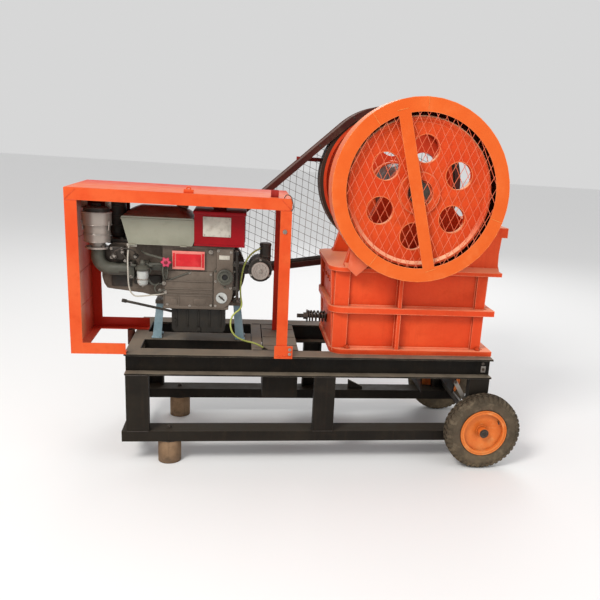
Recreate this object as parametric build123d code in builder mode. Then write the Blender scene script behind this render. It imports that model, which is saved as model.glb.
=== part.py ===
from build123d import *
from math import sin, cos, tan, asin, atan2, hypot, degrees, radians, pi
import os

os.makedirs("parts", exist_ok=True)

# ---------------------------------------------------------------- dimensions (mm)
# The origin is on the floor under the middle of the whole set.
# X runs along the chassis, from the engine to the crusher; Y runs from the guarded
# flywheel side to the belt side; Z is up.
CHASSIS_LEFT = -832.5      # left end of the top frame
CHASSIS_FRONT = -346.0     # front face of the top frame
L_TOP = 1737.0             # top frame length
W_TOP = 677.0              # top frame width
Z_TOP = 538.0              # top of the top frame
BEAM = 100.0               # wide-flange beam, 100 x 100
BEAM_FL = 8.0
BEAM_WEB = 6.0
Z_RAIL = 165.0             # top of the bottom rails
RAIL_H = 51.0
RAIL_X0, RAIL_X1 = -18.0, 1745.0
POSTS_X = (4.0, 863.0, 1628.0)     # left edges of the posts
POST_W, POST_D = 100.0, 48.0

FOOT_R = 53.0
AXLE_X, AXLE_Z, AXLE_R = 1697.0, 189.0, 15.0
TYRE_R, TYRE_W = 189.0, 84.0
RIM_R = 117.5
WHEEL_GAP = 12.0           # between the frame and the tyre

CAGE_X0, CAGE_X1 = -221.0, 726.0
CAGE_D = 468.0
CAGE_TOP = 1258.0
ANGLE, ANGLE_T = 50.0, 5.0

SHAFT_X, SHAFT_Z = 1280.0, 1319.0    # crusher shaft
SHAFT_Y0, SHAFT_Y1 = -38.0, 770.0
SHAFT_R = 50.0
FLY_R, FLY_W = 329.0, 84.0
FLY_Y = -56.0              # front face of the flywheel rim
FLY_HOLE_R, FLY_PITCH_R = 60.0, 192.0
FLY_HOLE_A0 = 26.0
GUARD_X, GUARD_Z = 1283.0, 1326.0    # guard drum, hung a little off the shaft line
GUARD_R, GUARD_HOLE_R = 397.0, 336.0
GUARD_Y0, GUARD_Y1 = -86.0, 50.0

PULLEY_R = 371.0
PULLEY_Y0, PULLEY_Y1 = 640.0, 770.0
ENG_X, ENG_Z = 335.0, 860.0          # engine crankshaft
ENG_PULLEY_R = 72.0
ENG_FLY_R = 195.0
BELT_Y = (675.0, 705.0, 735.0)
BELT_W, BELT_T = 16.0, 12.0
GROOVE_W, GROOVE_D = 17.0, 14.0

BODY_X0, BODY_X1 = 945.0, 1690.0     # crusher body, over its end walls
BODY_Y0, BODY_Y1 = 100.0, 577.0      # over its side walls
WALL = 40.0
FLANGE = 45.0                        # how far the flanges stand out
SEAT_R = 112.0                       # bearing seats on top of the side walls
BEARING_R = 105.0


def X(s):
    """Station along the chassis, from its left end."""
    return CHASSIS_LEFT + s


def Y(s):
    """Depth from the front face of the chassis."""
    return CHASSIS_FRONT + s


def at_x(s):
    """Profile plane across the chassis: local x is Y, local y is Z, extruded towards +X."""
    return Plane.YZ.offset(X(s))


def at_y(s):
    """Side-view plane: local x is X, local y is Z; a negative extrude runs towards +Y."""
    return Plane.XZ.offset(-Y(s))


def at_z(z):
    return Plane.XY.offset(z)


def rect(a0, b0, a1, b1, mode=Mode.ADD):
    with Locations(((a0 + a1) / 2, (b0 + b1) / 2)):
        Rectangle(a1 - a0, b1 - b0, mode=mode)


def disc(a, b, r, mode=Mode.ADD):
    with Locations((a, b)):
        Circle(r, mode=mode)


def save(part, name):
    part.label = name
    export_step(part, f"parts/{name}.step")


def tangent_quad(p1, r1, p2, r2):
    """Corners of the four-sided figure that two circles' outer tangents close."""
    d = hypot(p2[0] - p1[0], p2[1] - p1[1])
    base = atan2(p2[1] - p1[1], p2[0] - p1[0])
    a = asin((r2 - r1) / d)
    up = base + a + pi / 2
    dn = base - a - pi / 2
    return [
        (p1[0] + r1 * cos(up), p1[1] + r1 * sin(up)),
        (p2[0] + r2 * cos(up), p2[1] + r2 * sin(up)),
        (p2[0] + r2 * cos(dn), p2[1] + r2 * sin(dn)),
        (p1[0] + r1 * cos(dn), p1[1] + r1 * sin(dn)),
    ]


ENG_P = (X(ENG_X), ENG_Z)
CRU_P = (X(SHAFT_X), SHAFT_Z)


# ================================================================ generator wire
# from a gland on the generator's upper cylinder, down beside the engine, to a gland on
# the deck plate
WIRE_R = 4.0
WIRE_PTS = [Vector(X(a), Y(b), c) for a, b, c in (
    (596, 197.5, 1006), (560, 172, 994), (524, 150, 940), (510, 140, 868), (508, 134, 797),
    (521, 130, 735), (472, 126, 700), (463, 124, 648), (481, 121, 602), (530, 118, 576),
    (585, 117, 568), (621, 116, 546))]
WIRE_RADII = []
for p, q, r in zip(WIRE_PTS, WIRE_PTS[1:], WIRE_PTS[2:]):
    turn = radians((q - p).get_angle(r - q))
    WIRE_RADII.append(0.45 * min((q - p).length, (r - q).length) / tan(turn / 2))
GLAND_R = 7.0

# ================================================================ chassis, top frame
with BuildPart() as top_beams:
    with BuildSketch(at_x(0)):
        rect(Y(0), Z_TOP - BEAM_FL, Y(BEAM), Z_TOP)
        rect(Y(0), Z_TOP - BEAM, Y(BEAM), Z_TOP - BEAM + BEAM_FL)
        rect(Y(47), Z_TOP - BEAM + BEAM_FL, Y(53), Z_TOP - BEAM_FL)
        rect(Y(W_TOP - BEAM), Z_TOP - BEAM_FL, Y(W_TOP), Z_TOP)
        rect(Y(W_TOP - BEAM), Z_TOP - BEAM, Y(W_TOP), Z_TOP - BEAM + BEAM_FL)
        rect(Y(W_TOP - 53), Z_TOP - BEAM + BEAM_FL, Y(W_TOP - 47), Z_TOP - BEAM_FL)
    extrude(amount=L_TOP)
save(top_beams.part, "top_beams")

# channels across both ends, webs outwards
with BuildPart() as top_end_channels:
    with BuildSketch(at_y(BEAM)):
        rect(X(0), Z_TOP - BEAM, X(6), Z_TOP)
        rect(X(6), Z_TOP - 8, X(60), Z_TOP)
        rect(X(6), Z_TOP - BEAM, X(60), Z_TOP - BEAM + 8)
        rect(X(L_TOP - 6), Z_TOP - BEAM, X(L_TOP), Z_TOP)
        rect(X(L_TOP - 54), Z_TOP - 8, X(L_TOP - 6), Z_TOP)
        rect(X(L_TOP - 54), Z_TOP - BEAM, X(L_TOP - 6), Z_TOP - BEAM + 8)
    extrude(amount=-(W_TOP - 2 * BEAM))
save(top_end_channels.part, "top_end_channels")

# channel laid flat, web up, that the engine stands on
with BuildPart() as engine_rail:
    with BuildSketch(at_x(60)):
        rect(Y(246), Z_TOP - 7, Y(384), Z_TOP)
        rect(Y(246), Z_TOP - 53, Y(254), Z_TOP - 7)
        rect(Y(376), Z_TOP - 53, Y(384), Z_TOP - 7)
    extrude(amount=567 - 60)
save(engine_rail.part, "engine_rail")

with BuildPart() as engine_cross_channel:
    with BuildSketch(at_y(BEAM)):
        rect(X(567), Z_TOP - BEAM, X(573), Z_TOP)
        rect(X(573), Z_TOP - 8, X(617), Z_TOP)
        rect(X(573), Z_TOP - BEAM, X(617), Z_TOP - BEAM + 8)
    extrude(amount=-(W_TOP - 2 * BEAM))
save(engine_cross_channel.part, "engine_cross_channel")

# deck plate beside the engine, over the hanging box
with BuildPart() as deck_plate:
    with BuildSketch(at_z(Z_TOP - 6)):
        rect(X(622), Y(BEAM), X(788), Y(W_TOP - BEAM))
    extrude(amount=6)
    # gland of the generator wire
    with BuildSketch(Plane(origin=WIRE_PTS[-1], z_dir=WIRE_PTS[-1] - WIRE_PTS[-2])):
        Circle(GLAND_R)
    extrude(amount=24)
    with BuildSketch(at_z(Z_TOP - 6 - 40)):
        rect(X(600), Y(BEAM - 20), X(700), Y(BEAM + 60))
    extrude(amount=40, mode=Mode.SUBTRACT)
save(deck_plate.part, "deck_plate")

with BuildPart() as hanging_box:
    with BuildSketch(at_z(301)):
        rect(X(622), Y(104), X(790), Y(330))
    extrude(amount=Z_TOP - 6 - 301)
    with BuildSketch(at_z(305)):
        rect(X(626), Y(108), X(786), Y(326))
    extrude(amount=Z_TOP - 6 - 305, mode=Mode.SUBTRACT)
save(hanging_box.part, "hanging_box")

# ================================================================ posts and bottom frame
with BuildPart() as front_posts:
    with BuildSketch(at_z(Z_RAIL)):
        for x0 in POSTS_X:
            rect(X(x0), Y(0), X(x0 + POST_W), Y(6))
            rect(X(x0), Y(6), X(x0 + 8), Y(POST_D))
            rect(X(x0 + POST_W - 8), Y(6), X(x0 + POST_W), Y(POST_D))
    extrude(amount=Z_TOP - BEAM - Z_RAIL)
    with BuildSketch(at_y(0)):
        disc(X(AXLE_X), AXLE_Z, AXLE_R)
    extrude(amount=-6, mode=Mode.SUBTRACT)
save(front_posts.part, "front_posts")

with BuildPart() as rear_posts:
    with BuildSketch(at_z(Z_RAIL)):
        for x0 in POSTS_X:
            rect(X(x0), Y(W_TOP - 6), X(x0 + POST_W), Y(W_TOP))
            rect(X(x0), Y(W_TOP - POST_D), X(x0 + 8), Y(W_TOP - 6))
            rect(X(x0 + POST_W - 8), Y(W_TOP - POST_D), X(x0 + POST_W), Y(W_TOP - 6))
    extrude(amount=Z_TOP - BEAM - Z_RAIL)
    with BuildSketch(at_y(W_TOP - 6)):
        disc(X(AXLE_X), AXLE_Z, AXLE_R)
    extrude(amount=-6, mode=Mode.SUBTRACT)
save(rear_posts.part, "rear_posts")

# bottom rails: channels laid flat, web up
with BuildPart() as bottom_rails:
    with BuildSketch(at_x(RAIL_X0)):
        rect(Y(0), Z_RAIL - 6, Y(BEAM), Z_RAIL)
        rect(Y(0), Z_RAIL - RAIL_H, Y(8), Z_RAIL - 6)
        rect(Y(BEAM - 8), Z_RAIL - RAIL_H, Y(BEAM), Z_RAIL - 6)
        rect(Y(W_TOP - BEAM), Z_RAIL - 6, Y(W_TOP), Z_RAIL)
        rect(Y(W_TOP - BEAM), Z_RAIL - RAIL_H, Y(W_TOP - BEAM + 8), Z_RAIL - 6)
        rect(Y(W_TOP - 8), Z_RAIL - RAIL_H, Y(W_TOP), Z_RAIL - 6)
    extrude(amount=RAIL_X1 - RAIL_X0)
save(bottom_rails.part, "bottom_rails")

with BuildPart() as bottom_end_channels:
    with BuildSketch(at_y(BEAM)):
        rect(X(RAIL_X0), Z_RAIL - RAIL_H, X(RAIL_X0 + 6), Z_RAIL)
        rect(X(RAIL_X0 + 6), Z_RAIL - 6, X(RAIL_X0 + 46), Z_RAIL)
        rect(X(RAIL_X1 - 6), Z_RAIL - RAIL_H, X(RAIL_X1), Z_RAIL)
        rect(X(RAIL_X1 - 46), Z_RAIL - 6, X(RAIL_X1 - 6), Z_RAIL)
    extrude(amount=-(W_TOP - 2 * BEAM))
save(bottom_end_channels.part, "bottom_end_channels")

with BuildPart() as support_feet:
    with BuildSketch(at_z(0)):
        disc(X(192), Y(50), FOOT_R)
        disc(X(192), Y(W_TOP - 50), FOOT_R)
    extrude(amount=Z_RAIL - RAIL_H)
    fillet(support_feet.edges().filter_by(GeomType.CIRCLE).group_by(Axis.Z)[0], 3)
save(support_feet.part, "support_feet")

# ================================================================ axle and wheels
with BuildPart() as axle:
    with BuildSketch(at_y(-WHEEL_GAP - TYRE_W - 2)):
        disc(X(AXLE_X), AXLE_Z, AXLE_R)
    extrude(amount=-(W_TOP + 2 * (WHEEL_GAP + TYRE_W + 2)))
save(axle.part, "axle")

# flat brace from the frame down to the axle, with an eye round the axle
BRACE_TOP = (1553.0, 424.0)
with BuildPart() as axle_braces:
    for y0 in (-5.0, W_TOP):
        with BuildSketch(at_y(y0)):
            b_len = hypot(AXLE_X - BRACE_TOP[0], AXLE_Z - BRACE_TOP[1])
            bx = (BRACE_TOP[1] - AXLE_Z) / b_len * 10
            bz = (AXLE_X - BRACE_TOP[0]) / b_len * 10
            with BuildLine():
                Polyline((X(BRACE_TOP[0] - bx), BRACE_TOP[1] - bz), (X(BRACE_TOP[0] + bx), BRACE_TOP[1] + bz),
                         (X(AXLE_X + bx), AXLE_Z + bz), (X(AXLE_X - bx), AXLE_Z - bz), close=True)
            make_face()
            disc(X(AXLE_X), AXLE_Z, 26)
            disc(X(AXLE_X), AXLE_Z, AXLE_R, Mode.SUBTRACT)
        extrude(amount=-5)
save(axle_braces.part, "axle_braces")

FRONT_MID = Y(-WHEEL_GAP - TYRE_W / 2)
REAR_MID = Y(W_TOP + WHEEL_GAP + TYRE_W / 2)

# tyre and rim profiles: local x is the distance from the axle line, local y runs
# along the axle, outwards
TYRE_PTS = [(118, -29), (124, -36), (150, -42), (174, -38), (186, -25), (TYRE_R, 0),
            (186, 25), (174, 38), (150, 42), (124, 36), (118, 29)]

with BuildPart() as front_tyre:
    with BuildSketch(Plane(origin=(X(AXLE_X), FRONT_MID, AXLE_Z), x_dir=(1, 0, 0), z_dir=(0, 0, 1))):
        with BuildLine():
            Spline(*TYRE_PTS)
            Polyline(TYRE_PTS[-1], (102.5, 29), (102.5, -29), TYRE_PTS[0])
        make_face()
    revolve(axis=Axis((X(AXLE_X), FRONT_MID, AXLE_Z), (0, 1, 0)), revolution_arc=360)
save(front_tyre.part, "front_tyre")

with BuildPart() as rear_tyre:
    with BuildSketch(Plane(origin=(X(AXLE_X), REAR_MID, AXLE_Z), x_dir=(1, 0, 0), z_dir=(0, 0, 1))):
        with BuildLine():
            Spline(*TYRE_PTS)
            Polyline(TYRE_PTS[-1], (102.5, 29), (102.5, -29), TYRE_PTS[0])
        make_face()
    revolve(axis=Axis((X(AXLE_X), REAR_MID, AXLE_Z), (0, 1, 0)), revolution_arc=360)
save(rear_tyre.part, "rear_tyre")

# dished rim on a hub tube; out is -1 for the front wheel, +1 for the rear wheel
RIM_PTS = [(AXLE_R + 0.08, -40), (24, -40), (24, -8), (60, 4), (98, 8), (98, -31), (98, -34),
           (RIM_R, -34), (RIM_R, -30), (102.4, -30), (102.4, 30), (RIM_R, 30), (RIM_R, 34),
           (98, 34), (98, 14), (58, 10), (24, -1), (24, 40), (AXLE_R + 0.08, 40)]

with BuildPart() as front_rim:
    with BuildSketch(Plane(origin=(X(AXLE_X), FRONT_MID, AXLE_Z), x_dir=(1, 0, 0), z_dir=(0, 0, 1))):
        with BuildLine():
            Polyline(*[(r, -a) for r, a in RIM_PTS], close=True)
        make_face()
    revolve(axis=Axis((X(AXLE_X), FRONT_MID, AXLE_Z), (0, 1, 0)), revolution_arc=360)
save(front_rim.part, "front_rim")

with BuildPart() as rear_rim:
    with BuildSketch(Plane(origin=(X(AXLE_X), REAR_MID, AXLE_Z), x_dir=(1, 0, 0), z_dir=(0, 0, 1))):
        with BuildLine():
            Polyline(*RIM_PTS, close=True)
        make_face()
    revolve(axis=Axis((X(AXLE_X), REAR_MID, AXLE_Z), (0, 1, 0)), revolution_arc=360)
save(rear_rim.part, "rear_rim")

# ================================================================ engine cage
A, T = ANGLE, ANGLE_T
with BuildPart() as cage_posts:
    with BuildSketch(at_z(Z_TOP)):
        for x0, sx in ((CAGE_X0, 1), (CAGE_X1, -1)):
            for y0, sy in ((0, 1), (CAGE_D, -1)):
                rect(min(X(x0), X(x0 + sx * A)), min(Y(y0), Y(y0 + sy * T)),
                     max(X(x0), X(x0 + sx * A)), max(Y(y0), Y(y0 + sy * T)))
                rect(min(X(x0), X(x0 + sx * T)), min(Y(y0), Y(y0 + sy * A)),
                     max(X(x0), X(x0 + sx * T)), max(Y(y0), Y(y0 + sy * A)))
    extrude(amount=CAGE_TOP - A - Z_TOP)
save(cage_posts.part, "cage_posts")

with BuildPart() as cage_top_long_rails:
    with BuildSketch(at_x(CAGE_X0)):
        rect(Y(0), CAGE_TOP - A, Y(T), CAGE_TOP)
        rect(Y(T), CAGE_TOP - T, Y(A), CAGE_TOP)
        rect(Y(CAGE_D - T), CAGE_TOP - A, Y(CAGE_D), CAGE_TOP)
        rect(Y(CAGE_D - A), CAGE_TOP - T, Y(CAGE_D - T), CAGE_TOP)
    extrude(amount=CAGE_X1 - CAGE_X0)
save(cage_top_long_rails.part, "cage_top_long_rails")

with BuildPart() as cage_top_side_rails:
    with BuildSketch(at_y(A)):
        rect(X(CAGE_X0), CAGE_TOP - A, X(CAGE_X0 + T), CAGE_TOP)
        rect(X(CAGE_X0 + T), CAGE_TOP - T, X(CAGE_X0 + A), CAGE_TOP)
        rect(X(CAGE_X1 - T), CAGE_TOP - A, X(CAGE_X1), CAGE_TOP)
        rect(X(CAGE_X1 - A), CAGE_TOP - T, X(CAGE_X1 - T), CAGE_TOP)
    extrude(amount=-(CAGE_D - 2 * A))
save(cage_top_side_rails.part, "cage_top_side_rails")

# short bottom rails that carry the overhanging end, from the chassis outwards
with BuildPart() as cage_bottom_rails:
    with BuildSketch(at_x(CAGE_X0 + A)):
        rect(Y(0), Z_TOP, Y(T), Z_TOP + A)
        rect(Y(T), Z_TOP, Y(A), Z_TOP + T)
    extrude(amount=10 - CAGE_X0 - A)
    with BuildSketch(at_x(CAGE_X0 + A)):
        rect(Y(CAGE_D - T), Z_TOP, Y(CAGE_D), Z_TOP + A)
        rect(Y(CAGE_D - A), Z_TOP, Y(CAGE_D - T), Z_TOP + T)
    extrude(amount=58 - CAGE_X0 - A)
    with BuildSketch(at_y(A)):
        rect(X(CAGE_X0), Z_TOP, X(CAGE_X0 + T), Z_TOP + A)
    extrude(amount=-(CAGE_D - 2 * A))
    # its flat leg runs on into both corners
    with BuildSketch(at_y(T)):
        rect(X(CAGE_X0 + T), Z_TOP, X(CAGE_X0 + A), Z_TOP + T)
    extrude(amount=-(CAGE_D - 2 * T))
save(cage_bottom_rails.part, "cage_bottom_rails")

with BuildPart() as cage_roof:
    with BuildSketch(at_z(CAGE_TOP)):
        rect(X(CAGE_X0 + 2), Y(2), X(CAGE_X1 - 2), Y(CAGE_D - 2))
    extrude(amount=2)
save(cage_roof.part, "cage_roof")

with BuildPart() as cage_side_sheet:
    with BuildSketch(at_x(CAGE_X0 + T)):
        rect(Y(T), Z_TOP + T, Y(CAGE_D - T), CAGE_TOP - T)
    extrude(amount=2)
save(cage_side_sheet.part, "cage_side_sheet")

with BuildPart() as cage_foot_plate:
    with BuildSketch(at_y(-6)):
        rect(X(668), Z_TOP - 8, X(752), Z_TOP + 52)
    extrude(amount=-6)
save(cage_foot_plate.part, "cage_foot_plate")

# ================================================================ engine
with BuildPart() as engine_block:
    with BuildSketch(at_y(120)):
        with BuildLine():
            Polyline((X(162), 728), (X(452), 728), (X(476), 806), (X(476), 1016),
                     (X(162), 1016), close=True)
        make_face()
    extrude(amount=-240)
    with BuildSketch(at_z(712)):
        rect(X(110), Y(262), X(514), Y(372))
    extrude(amount=16)
    with BuildSketch(at_y(300)):
        disc(X(ENG_X), ENG_Z, 25.06)
    extrude(amount=-60, mode=Mode.SUBTRACT)
    # starting-handle boss and a round cover on the front face
    with BuildSketch(at_y(106)):
        disc(X(438), 883, 38)
        disc(X(438), 883, 13, Mode.SUBTRACT)
    extrude(amount=-14)
    with BuildSketch(at_y(112)):
        disc(X(428), 788, 26)
    extrude(amount=-8)
save(engine_block.part, "engine_block")

with BuildPart() as engine_sump:
    with BuildSketch(at_z(607)):
        rect(X(196), Y(150), X(440), Y(255))
    extrude(amount=121)
    fillet(engine_sump.edges().filter_by(Axis.Y).group_by(Axis.Z)[0], 20)
save(engine_sump.part, "engine_sump")

# angle-iron legs under the engine
with BuildPart() as engine_legs:
    # front legs of the angles, each leaning inwards to the mounting plate
    with BuildSketch(at_y(272)):
        Polygon((X(93), Z_TOP), (X(134.5), Z_TOP), (X(148), 712), (X(114), 712), align=None)
        Polygon((X(489.5), Z_TOP), (X(531), Z_TOP), (X(510), 712), (X(476), 712), align=None)
    extrude(amount=-6)
    # side legs
    with BuildSketch(at_y(278)):
        Polygon((X(93), Z_TOP), (X(99), Z_TOP), (X(120), 712), (X(114), 712), align=None)
        Polygon((X(525), Z_TOP), (X(531), Z_TOP), (X(510), 712), (X(504), 712), align=None)
    extrude(amount=-84)
save(engine_legs.part, "engine_legs")

with BuildPart() as cylinder_head:
    with BuildSketch(at_y(170)):
        with BuildLine():
            Polyline((X(-98), 830), (X(-60), 806), (X(162), 806), (X(162), 1010),
                     (X(-60), 1010), (X(-98), 980), close=True)
        make_face()
    extrude(amount=-170)
save(cylinder_head.part, "cylinder_head")

with BuildPart() as fuel_tank:
    with BuildSketch(at_y(100)):
        with BuildLine():
            Polyline((X(18), 1018), (X(292), 1018), (X(300), 1040), (X(300), 1141),
                     (X(-14), 1141), (X(-6), 1110), close=True)
        make_face()
    extrude(amount=-250)
    fillet(fuel_tank.edges().filter_by(Axis.Y), 8)
save(fuel_tank.part, "fuel_tank")

with BuildPart() as radiator_box:
    with BuildSketch(at_y(100)):
        rect(X(301), 1024, X(523), 1174)
    extrude(amount=-230)
    fillet(radiator_box.edges().filter_by(Axis.Y), 10)
save(radiator_box.part, "radiator_box")

with BuildPart() as air_cleaner:
    with BuildSketch(at_z(1018)):
        disc(X(-120), Y(140), 56)
    extrude(amount=75)
    with BuildSketch(at_z(1093)):
        disc(X(-120), Y(140), 63)
    extrude(amount=57)
    with BuildSketch(at_z(1150)):
        disc(X(-120), Y(140), 52)
    extrude(amount=16)
    with BuildSketch(at_z(992)):
        disc(X(-120), Y(140), 34)
    extrude(amount=26)
save(air_cleaner.part, "air_cleaner")

with BuildPart() as intake_elbow:
    with BuildLine() as elbow_path:
        FilletPolyline((X(-120), Y(140), 992), (X(-120), Y(140), 898), (X(12), Y(140), 898), radius=56)
    with BuildSketch(Plane(origin=elbow_path.line @ 0, z_dir=elbow_path.line % 0)):
        Circle(29)
    sweep()
    with BuildSketch(at_x(12)):
        rect(Y(106), 862, Y(170), 934)
    extrude(amount=26)
save(intake_elbow.part, "intake_elbow")

with BuildPart() as muffler:
    with BuildSketch(at_z(1010)):
        disc(X(-50), Y(290), 24)
    extrude(amount=20)
    with BuildSketch(at_z(1030)):
        disc(X(-60), Y(290), 44)
    extrude(amount=165)
    fillet(muffler.edges().filter_by(GeomType.CIRCLE).group_by(Axis.Z)[-1], 10)
save(muffler.part, "muffler")

with BuildPart() as fuel_filter:
    with BuildSketch(at_z(916)):
        rect(X(50), Y(66), X(135), Y(170))
    extrude(amount=24)
    with BuildSketch(at_z(834)):
        disc(X(83), Y(92), 25)
    extrude(amount=82)
    fillet(fuel_filter.edges().filter_by(GeomType.CIRCLE).group_by(Axis.Z)[0], 12)
save(fuel_filter.part, "fuel_filter")

with BuildPart() as alternator:
    with BuildSketch(at_y(140)):
        disc(X(598), 914, 54)
    extrude(amount=-150)
    with BuildSketch(at_y(118)):
        disc(X(598), 914, 41)
    extrude(amount=-22)
    with BuildSketch(at_z(940)):
        disc(X(622), Y(215), 26)
    extrude(amount=84)
    with BuildSketch(at_y(190)):
        rect(X(476), 890, X(590), 930)
    extrude(amount=-70)
    # gland of the generator wire
    with BuildSketch(Plane(origin=WIRE_PTS[0], z_dir=WIRE_PTS[0] - WIRE_PTS[1])):
        Circle(GLAND_R)
    extrude(amount=16)
save(alternator.part, "alternator")

with BuildPart() as generator_wire:
    with BuildLine() as wire_path:
        FilletPolyline(*WIRE_PTS, radius=WIRE_RADII)
    with BuildSketch(Plane(origin=wire_path.line @ 0, z_dir=wire_path.line % 0)):
        Circle(WIRE_R)
    sweep()
save(generator_wire.part, "generator_wire")
print("generator wire radii", [round(r, 1) for r in WIRE_RADII])
wire_length = sum(e.length for e in wire_path.edges())
print("generator wire length", round(wire_length, 1),
      "volume ratio", round(generator_wire.part.volume / (pi * WIRE_R ** 2 * wire_length), 4))

# ================================================================ crusher body
YM = (BODY_Y0 + BODY_Y1) / 2


def cheek_outline():
    """Outline of a side wall: tapering box, step at the top flange, shoulders up to the bearing seat."""
    return [(X(945), Z_TOP), (X(1690), Z_TOP), (X(1697), 938), (X(1748), 938), (X(1748), 957),
            (X(1738), 985), (X(1736), 1045), (X(1742), 1121), (X(1770), 1121), (X(1770), 1168),
            (X(1560), 1173), (X(1385), 1345), (X(1175), 1345), (X(1085), 1180), (X(1012), 1053),
            (X(985), 957), (X(925), 957), (X(925), 938)]


def flange_depth(side):
    """Y range of a flange on one side wall, from 4 mm inside the wall's inner face outwards."""
    if side < 0:
        return Y(BODY_Y0 - FLANGE), Y(BODY_Y0 + WALL - 4)
    return Y(BODY_Y1 - WALL + 4), Y(BODY_Y1 + FLANGE)


# levels of the three flanges: (bottom, left end, right end, thickness)
FLANGES = ((Z_TOP, 935, 1742, 24), (740, 922, 1733, 28), (938, 915, 1748, 19))
# uprights on a wall's outer face: (left, right, depth)
UPRIGHTS = ((1250, 1268, 38), (1640, 1690, 12), (945, 1015, 16))

with BuildPart() as crusher_side_front:
    with BuildSketch(at_y(BODY_Y0)):
        Polygon(*cheek_outline(), align=None)
        disc(X(SHAFT_X), SHAFT_Z, SEAT_R)
        disc(X(SHAFT_X), SHAFT_Z, 70, Mode.SUBTRACT)
    extrude(amount=-WALL)
    for z, x0, x1, t in FLANGES:
        with BuildSketch(at_z(z)) as fl_front:
            rect(X(x0), flange_depth(-1)[0], X(x1), flange_depth(-1)[1])
            fillet(fl_front.vertices().group_by(Axis.Y)[0].sort_by(Axis.X)[0], 70)
        extrude(amount=t)
    with BuildSketch(at_z(Z_TOP + 10)):
        for x0, x1, d in UPRIGHTS:
            rect(X(x0), Y(BODY_Y0 - d), X(x1), Y(BODY_Y0))
    extrude(amount=940 - Z_TOP - 10)
    # sloping upper face of the top flange
    with BuildSketch(at_x(985)):
        Polygon((Y(BODY_Y0 - FLANGE + 4), 957), (Y(BODY_Y0), 957), (Y(BODY_Y0), 972), align=None)
    extrude(amount=1738 - 985)
save(crusher_side_front.part, "crusher_side_front")

with BuildPart() as crusher_side_rear:
    with BuildSketch(at_y(BODY_Y1 - WALL)):
        Polygon(*cheek_outline(), align=None)
        disc(X(SHAFT_X), SHAFT_Z, SEAT_R)
        disc(X(SHAFT_X), SHAFT_Z, 70, Mode.SUBTRACT)
    extrude(amount=-WALL)
    for z, x0, x1, t in FLANGES:
        with BuildSketch(at_z(z)) as fl_rear:
            rect(X(x0), flange_depth(1)[0], X(x1), flange_depth(1)[1])
            fillet(fl_rear.vertices().group_by(Axis.Y)[-1].sort_by(Axis.X)[0], 70)
        extrude(amount=t)
    with BuildSketch(at_z(Z_TOP + 10)):
        for x0, x1, d in UPRIGHTS:
            rect(X(x0), Y(BODY_Y1), X(x1), Y(BODY_Y1 + d))
    extrude(amount=940 - Z_TOP - 10)
    with BuildSketch(at_x(985)):
        Polygon((Y(BODY_Y1 + FLANGE - 4), 957), (Y(BODY_Y1), 957), (Y(BODY_Y1), 972), align=None)
    extrude(amount=1738 - 985)
save(crusher_side_rear.part, "crusher_side_rear")

# end wall on the feed side, with its flanges and the lip of the mouth
with BuildPart() as feed_end_wall:
    with BuildSketch(at_y(BODY_Y0 + WALL)):
        rect(X(1650), Z_TOP, X(1690), 1121)
        rect(X(1690), Z_TOP, X(1742), Z_TOP + 24)
        rect(X(1690), 740, X(1733), 768)
        rect(X(1690), 938, X(1748), 957)
        rect(X(1690), 957, X(1736), 1121)
        rect(X(1650), 1121, X(1770), 1168)
    extrude(amount=-(BODY_Y1 - BODY_Y0 - 2 * WALL))
save(feed_end_wall.part, "feed_end_wall")

# end wall on the toggle side: its flanges, the shelf that closes the top, and the hole
# for the tension rod
ROD_Z = 652.0
with BuildPart() as toggle_end_wall:
    with BuildSketch(at_y(BODY_Y0 + WALL)):
        rect(X(945), Z_TOP, X(985), 938)
        rect(X(935), Z_TOP, X(945), Z_TOP + 24)
        rect(X(922), 740, X(945), 768)
        rect(X(915), 938, X(1120), 957)
        rect(X(985), 770, X(1030), 850)
    extrude(amount=-(BODY_Y1 - BODY_Y0 - 2 * WALL))
    with BuildSketch(at_x(915)):
        disc(Y(YM), ROD_Z, 17)
    extrude(amount=80, mode=Mode.SUBTRACT)
save(toggle_end_wall.part, "toggle_end_wall")

with BuildPart() as fixed_jaw:
    with BuildSketch(at_y(BODY_Y0 + WALL + 3)):
        rect(X(1606), 600, X(1650), 1118)
    extrude(amount=-(BODY_Y1 - BODY_Y0 - 2 * WALL - 6))
save(fixed_jaw.part, "fixed_jaw")

with BuildPart() as moving_jaw:
    with BuildSketch(at_y(BODY_Y0 + WALL + 8)):
        with BuildLine():
            Polyline((X(1176), 1290), (X(1384), 1290), (X(1560), 620), (X(1430), 600),
                     (X(1370), 700), (X(1370), 760), (X(1236), 1080), close=True)
        make_face()
        disc(X(SHAFT_X), SHAFT_Z, 105)
        disc(X(SHAFT_X), SHAFT_Z, 62, Mode.SUBTRACT)
    extrude(amount=-(BODY_Y1 - BODY_Y0 - 2 * WALL - 16))
    with BuildSketch(at_x(1360)):
        disc(Y(YM), ROD_Z, 12)
    extrude(amount=130, mode=Mode.SUBTRACT)
save(moving_jaw.part, "moving_jaw")

with BuildPart() as toggle_plate:
    with BuildSketch(at_y(BODY_Y0 + WALL + 30)):
        with BuildLine():
            Polyline((X(1030), 795), (X(1370), 715), (X(1370), 745), (X(1030), 825), close=True)
        make_face()
    extrude(amount=-(BODY_Y1 - BODY_Y0 - 2 * WALL - 60))
save(toggle_plate.part, "toggle_plate")

with BuildPart() as tension_rod:
    with BuildSketch(at_x(794)):
        disc(Y(YM), ROD_Z, 10)
    extrude(amount=1490 - 794)
    with BuildSketch(at_x(826)):
        RegularPolygon_at = (Y(YM), ROD_Z)
        with Locations(RegularPolygon_at):
            RegularPolygon(18, 6)
    extrude(amount=16)
    with BuildSketch(at_x(842)):
        disc(Y(YM), ROD_Z, 32)
    extrude(amount=5)
save(tension_rod.part, "tension_rod")

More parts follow.
